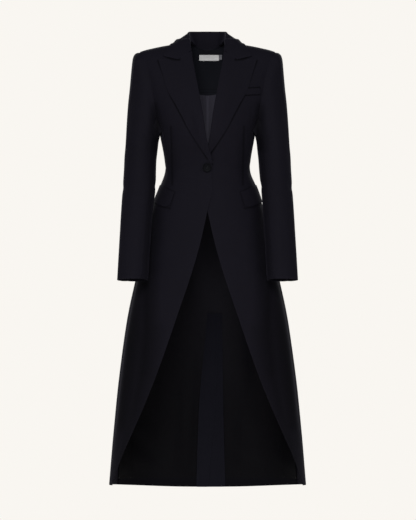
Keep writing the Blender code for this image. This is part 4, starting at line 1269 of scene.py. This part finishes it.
@dataclass
class Inside(SubAssembly):
    """The neck facing with its bare label and tab, the linings, the vent strips and the hem.

    The rows of vent_edges are height and the two edges' places across. The collar's seam, over
    which the facing is lapped up and in, lies at seam_low in the middle and rises to the sides.
    """

    satin: SatinFinish = field(default_factory=SatinFinish)
    facing: FacingFinish = field(default_factory=FacingFinish)
    strip: WoolFinish = field(default_factory=VentFinish)
    hem: WoolFinish = field(default_factory=HemFinish)
    label: LabelFinish = field(default_factory=LabelFinish)
    tab: TabFinish = field(default_factory=TabFinish)
    facing_cut: Cut = (0.300, 0.160, 0.0397)
    label_cut: Cut = (0.0560, 0.0202, 0.00113)
    tab_cut: Cut = (0.0100, 0.0172, 0.00016)
    back_cut: Cut = (0.300, 1.100, 0.2069)
    side_cut: Cut = (0.110, 0.985, 0.0530)
    underlap_cut: Cut = (0.055, 0.490, 0.0217)
    vent_cut: Cut = (0.063, 0.490, 0.0247)
    hem_cut: Cut = (0.300, 0.0270, 0.0069)
    label_from: float = -36.0
    label_middle: float = -33.5
    label_share: float = 0.86
    seam_low: float = -14.5
    seam_rise: float = 21.2
    seam_reach: float = 46.0
    seam_top: float = 12.0
    lap_up: float = 5.0
    lap_in: float = 1.6
    lap_fade: float = 18.0
    vent_span: Tuple[float, float] = (-23.5, 46.5)
    vent_edges: Rows = (
        (-755, 0.0, 40.0), (-850, -8.5, 41.5), (-940, -18.0, 42.5), (-1022, -24.5, 43.5),
        (-1125, -28.5, 46.0), (-1225, -31.5, 49.0))

    def build(self) -> None:
        """Make every piece that shows inside the open garment."""
        cloth = self.dye.wool(self.facing, FACING_LINES, label="_neck", front_only=False)
        self.sew("neck_facing", self.facing_cut, cloth, "back_left", "back_right", slot="facing",
                 fit=self.lap_seam)
        for node, cut, finish in (("label", self.label_cut, self.label), ("size_tab", self.tab_cut, self.tab)):
            self.sew(node, cut, self.dye.tape(finish), "neck_facing", slot="label", hold=Hold.LAID,
                     fit=self.trim_label)
        loose = {"drape": LiningDrape(), "slot": "lining", "level": 3, "rounds": 1}
        satin, hem, strip = self.dye.satin(self.satin), self.dye.wool(self.hem), self.dye.wool(self.strip)
        for side, _ in SIDES:
            self.sew("lining_back_" + side, self.back_cut, satin, "neck_facing", **loose)
            self.sew("lining_side_" + side, self.side_cut, satin, "lining_back_" + side, **loose)
            self.sew("hem_" + side, self.hem_cut, hem, "back_" + side, hold=Hold.FOLDED)
        self.sew("vent_underlap", self.underlap_cut, strip, "back_left", fit=self.taper_vent)
        self.sew("vent_facing", self.vent_cut, strip, "back_right", fit=self.taper_vent)

    def lap_seam(self, places: np.ndarray) -> np.ndarray:
        """Return the facing's places with its top edge lapped up over the collar's seam."""
        x, y, z = (places / MM).T
        seam = self.seam_low + self.seam_rise * (x / self.seam_reach) ** 2
        share = 1.0 - smooth_step((np.minimum(seam, self.seam_top) - z) / self.lap_fade)
        inward = -np.column_stack((x, y)) / np.maximum(np.hypot(x, y), 1.0)[:, None]
        lapped = places.copy()
        lapped[:, :2] += inward * (self.lap_in * share * MM)[:, None]
        lapped[:, 2] += self.lap_up * share * MM
        return lapped

    def trim_label(self, places: np.ndarray) -> np.ndarray:
        """Return the label's places with its height brought to the sewn one."""
        trimmed = places.copy()
        trimmed[:, 2] = self.label_middle * MM + (places[:, 2] - self.label_from * MM) * self.label_share
        return trimmed

    def taper_vent(self, places: np.ndarray) -> np.ndarray:
        """Return a vent strip's places narrowed towards the top of the vent."""
        left, right = rows_at(self.vent_edges, places[:, 2] / MM)
        first, last = self.vent_span
        share = (places[:, 0] / MM - first) / (last - first)
        tapered = places.copy()
        tapered[:, 0] = (left + (right - left) * share) * MM
        return tapered


@dataclass
class FrontButton:
    """The one front button with its thread, and the buttonhole beside it.

    Sizes are millimetres. The steps of the face are how far it is set in and how far it drops.
    """

    dye: DyeRoom
    horn: HornFinish = field(default_factory=HornFinish)
    # The button's thread, lighter than the horn: a small painted highlight at the button's centre.
    silk: ThreadFinish = field(default_factory=ThreadFinish)
    stitch: ThreadFinish = ThreadFinish("hole_silk", Tint((0.0042, 0.0040, 0.0060), 0.60, 0.05))
    steps: Rows = ((1.7, 0.0), (0.5, 0.9), (1.2, 0.35), (2.6, 0.0))
    hole_reach: float = 2.1
    hole_radius: float = 0.95
    strand_radius: float = 0.62
    shank_radius: float = 1.6
    slot_from: float = 20.0
    slot_to: float = 4.0
    slot_drop: float = 7.0
    slot_half: float = 1.5
    cord_radius: float = 0.55
    cord_lift: float = 0.25

    def build(self) -> None:
        """Make the button, its crossed threads and the worked buttonhole."""
        low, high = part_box("button")
        centre = (low + high) / 2
        button = self._disc(low, high)
        button.data.materials.append(self.dye.horn(self.horn))
        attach(button, "root")
        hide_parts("button")
        log.info("button at %s", tuple(round(c, 4) for c in centre))
        self._threads(centre, high.y)
        self._buttonhole(centre)

    @staticmethod
    def _rod(corners: int, radius: float, length: float, place: Sequence[float],
             turn: Sequence[float] = TO_FRONT) -> Piece:
        """Add a round rod, its sizes in metres, and return it."""
        bpy.ops.mesh.primitive_cylinder_add(vertices=corners, radius=radius, depth=length,
                                            location=place, rotation=turn)
        return bpy.context.object

    @staticmethod
    def _soften(piece: Piece, name: str, width: float, segments: int, sharp: float, smooth: float) -> None:
        """Bevel and smooth a small piece.

        Args:
            piece: what is rounded off.
            name: the bevel's name.
            width: its width in millimetres.
            segments: its steps.
            sharp: the angle in degrees past which an edge is bevelled.
            smooth: the angle in degrees up to which faces are shaded as one.
        """
        pick(piece)
        bevel = piece.modifiers.new(name, "BEVEL")
        bevel.width = width * MM
        bevel.segments = segments
        bevel.limit_method = "ANGLE"
        bevel.angle_limit = math.radians(sharp)
        bpy.ops.object.modifier_apply(modifier=bevel.name)
        bpy.ops.object.shade_smooth_by_angle(angle=math.radians(smooth))

    def _disc(self, low: Vector, high: Vector) -> Piece:
        """Return the turned button with its rim, dished face and four holes."""
        radius, depth = (high.x - low.x) / 2, high.y - low.y
        centre = (low + high) / 2
        deselect()
        button = self._rod(64, radius, depth, centre)
        button.name = "button_turned"
        bpy.ops.object.transform_apply(location=True, rotation=True, scale=True)
        bpy.ops.object.mode_set(mode="EDIT")
        face = low.y
        for inset, drop in self.steps:
            self._select_face(button, face)
            bpy.ops.mesh.inset(thickness=inset * MM, depth=0)
            bpy.ops.transform.translate(value=(0, drop * MM, 0))
            face += drop * MM
        bpy.ops.object.mode_set(mode="OBJECT")
        for k in range(4):
            turn = math.radians(45 + 90 * k)
            spot = centre + Vector((math.cos(turn), 0, math.sin(turn))) * self.hole_reach * MM
            self._drill(button, spot, depth)
        self._soften(button, "polished_edges", 0.35, 3, 40, 35)
        return button

    @staticmethod
    def _select_face(button: Piece, depth: float) -> None:
        """Select the button's flat front face alone, in edit mode."""
        bpy.ops.mesh.select_all(action="DESELECT")
        shape = bmesh.from_edit_mesh(button.data)
        for face in shape.faces:
            level = abs(face.calc_center_median().y - depth) < 0.0001
            if face.normal.y < -0.9 and level and len(face.verts) > 8:
                face.select_set(True)
        shape.select_flush_mode()
        bmesh.update_edit_mesh(button.data)

    def _drill(self, button: Piece, spot: Vector, depth: float) -> None:
        """Cut one sewing hole through the button."""
        deselect()
        drill = self._rod(20, self.hole_radius * MM, depth * 3, spot)
        cut = button.modifiers.new("hole", "BOOLEAN")
        cut.operation = "DIFFERENCE"
        cut.object = drill
        pick(button)
        bpy.ops.object.modifier_apply(modifier=cut.name)
        bpy.data.objects.remove(drill, do_unlink=True)

    def _threads(self, centre: Vector, back: float) -> None:
        """Make the two crossed bars of thread and the shank behind the button."""
        deselect()
        place = (centre.x, centre.y + 0.1 * MM, centre.z)
        bars = [self._rod(12, self.strand_radius * MM, 2 * self.hole_reach * MM, place,
                          (0, math.radians(turn), 0)) for turn in (45, 135)]
        bars.append(self._rod(16, self.shank_radius * MM, 1.2 * MM, (centre.x, back + 0.5 * MM, centre.z)))
        deselect()
        for bar in bars:
            bar.select_set(True)
        bpy.context.view_layer.objects.active = bars[0]
        bpy.ops.object.join()
        thread = bpy.context.object
        thread.name = "button_thread"
        bpy.ops.object.transform_apply(location=True, rotation=True, scale=True)
        self._soften(thread, "soft_ends", 0.2, 2, 30, 50)
        thread.data.materials.append(self.dye.thread(self.silk))
        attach(thread, "root")

    def _buttonhole(self, centre: Vector) -> None:
        """Make the worked buttonhole: a long ring of close stitches lying on the right front."""
        start = centre.x - self.slot_from * MM
        end = centre.x - self.slot_to * MM
        middle = (start + end) / 2
        deselect()
        bpy.ops.mesh.primitive_torus_add(major_segments=40, minor_segments=10,
                                         major_radius=self.slot_half * MM, minor_radius=self.cord_radius * MM,
                                         location=(middle, 0, centre.z - self.slot_drop * MM),
                                         rotation=TO_FRONT)
        ring = bpy.context.object
        ring.name = "buttonhole"
        bpy.ops.object.transform_apply(location=True, rotation=True, scale=True)
        stretch = (end - start) / 2 - 2.0 * MM
        places = places_of(ring.data)
        places[:, 0] += np.where(places[:, 0] > middle, stretch, -stretch)
        surface = front_surface(places[:, 0], places[:, 2])
        places[:, 1] = surface + places[:, 1] - self.cord_lift * MM
        set_places(ring.data, places)
        ring.data.materials.append(self.dye.thread(self.stitch))
        pick(ring)
        bpy.ops.object.shade_smooth_by_angle(angle=math.radians(60))
        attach(ring, "root")


def front_surface(x: np.ndarray, z: np.ndarray) -> np.ndarray:
    """Return the Y of the right front's outer face at given X and Z, in metres."""
    cloth = bpy.data.objects["front_right_cloth"]
    found = []
    for at_x, at_z in zip(x, z):
        hit, place, _, _ = cloth.ray_cast(Vector((at_x, -1.0, at_z)), Vector((0, 1, 0)))
        found.append(place.y if hit else -0.115)
    return np.array(found)


@dataclass
class Studio:
    """The pale studio: floor, soft lights, backdrop tone and the level camera."""

    backdrop: Colour = (0.947, 0.922, 0.880)
    pixel: float = 2.8 * MM
    frame_pixels: Tuple[int, int] = (416, 520)
    centre: Tuple[float, float] = (1.4 * MM, -0.602)
    distance: float = 25.0
    floor_height: float = -1.47
    ambient: float = 0.26
    lights: Tuple[Tuple[str, Tuple[float, float, float], float, float], ...] = (
        ("key_softbox", (-0.35, -5.5, 1.75), 1.8, 250.0),
        ("left_softbox", (-2.5, -5.2, 0.3), 2.0, 33.0),
        ("right_softbox", (2.6, -5.0, 0.0), 2.0, 27.0),
        ("back_left_softbox", (1.9, 5.4, 1.6), 2.0, 60.0),
        ("back_right_softbox", (-1.9, 5.4, 1.6), 2.0, 60.0),
    )

    def build(self) -> None:
        """Light the scene and place the camera."""
        self._world()
        self._floor()
        self._lights()
        self._camera()

    def _world(self) -> None:
        """Give the air its even pale tone, dimmer as a light than as a backdrop."""
        world = bpy.data.worlds.new("pale_studio")
        bpy.context.scene.world = world
        world.use_nodes = True
        tree = world.node_tree
        seen = tree.nodes["Background"]
        seen.inputs["Color"].default_value = (*self.backdrop, 1.0)
        lit = tree.nodes.new("ShaderNodeBackground")
        lit.inputs["Color"].default_value = (0.95, 0.95, 1.0, 1.0)
        lit.inputs["Strength"].default_value = self.ambient
        path = tree.nodes.new("ShaderNodeLightPath")
        mix = tree.nodes.new("ShaderNodeMixShader")
        tree.links.new(path.outputs["Is Camera Ray"], mix.inputs[0])
        tree.links.new(lit.outputs[0], mix.inputs[1])
        tree.links.new(seen.outputs[0], mix.inputs[2])
        tree.links.new(mix.outputs[0], tree.nodes["World Output"].inputs["Surface"])
        bpy.context.scene.view_settings.view_transform = "Standard"
        bpy.context.scene.view_settings.look = "None"

    def _floor(self) -> None:
        """Lay a plain pale round floor below the hanging garment."""
        deselect()
        bpy.ops.mesh.primitive_circle_add(vertices=96, radius=1.9, fill_type="NGON",
                                          location=(0, 0, self.floor_height))
        floor = bpy.context.object
        floor.name = "studio_floor"
        material = bpy.data.materials.new("pale_floor")
        material.use_nodes = True
        shader = material.node_tree.nodes["Principled BSDF"]
        shader.inputs["Base Color"].default_value = (*self.backdrop, 1.0)
        shader.inputs["Roughness"].default_value = 0.9
        shader.inputs["Emission Color"].default_value = (*self.backdrop, 1.0)
        shader.inputs["Emission Strength"].default_value = 0.35
        floor.data.materials.append(material)

    def _lights(self) -> None:
        """Hang the soft boxes, each aimed at the garment's middle."""
        aim = Vector((0, 0, -0.55))
        for name, place, size, power in self.lights:
            lamp = bpy.data.lights.new(name, "AREA")
            lamp.shape = "SQUARE"
            lamp.size = size
            lamp.energy = power
            box = bpy.data.objects.new(name, lamp)
            box.location = place
            box.rotation_euler = (aim - Vector(place)).to_track_quat("-Z", "Y").to_euler()
            bpy.context.scene.collection.objects.link(box)

    def _camera(self) -> None:
        """Set the level long-lens camera that frames the garment as photographed."""
        lens = bpy.data.cameras.new("level_camera")
        lens.sensor_width = 36.0
        half = self.frame_pixels[1] * self.pixel / 2
        lens.lens = lens.sensor_width / 2 * self.distance / half
        lens.clip_end = 100.0
        camera = bpy.data.objects.new("level_camera", lens)
        camera.location = (self.centre[0], -self.distance, self.centre[1])
        camera.rotation_euler = (math.pi / 2, 0, 0)
        bpy.context.scene.collection.objects.link(camera)
        bpy.context.scene.camera = camera


def main() -> None:
    """Build the garment piece by piece and report each."""
    logging.basicConfig(level=logging.INFO, format="%(message)s")
    dye = DyeRoom()
    groups: List[Tuple[str, Callable[[], None]]] = [
        ("fronts", Fronts(dye).build),
        ("sides and backs", SidesAndBacks(dye).build),
        ("lapels", Lapels(dye).build),
        ("collar", Collar(dye).build),
        ("sleeves", Sleeves(dye).build),
        ("pockets", Pockets(dye).build),
        ("inside", Inside(dye).build),
        ("front button", FrontButton(dye).build),
        ("studio", Studio().build),
    ]
    for name, build in groups:
        build()
        log.info("built: %s", name)


if __name__ == "__main__":
    main()
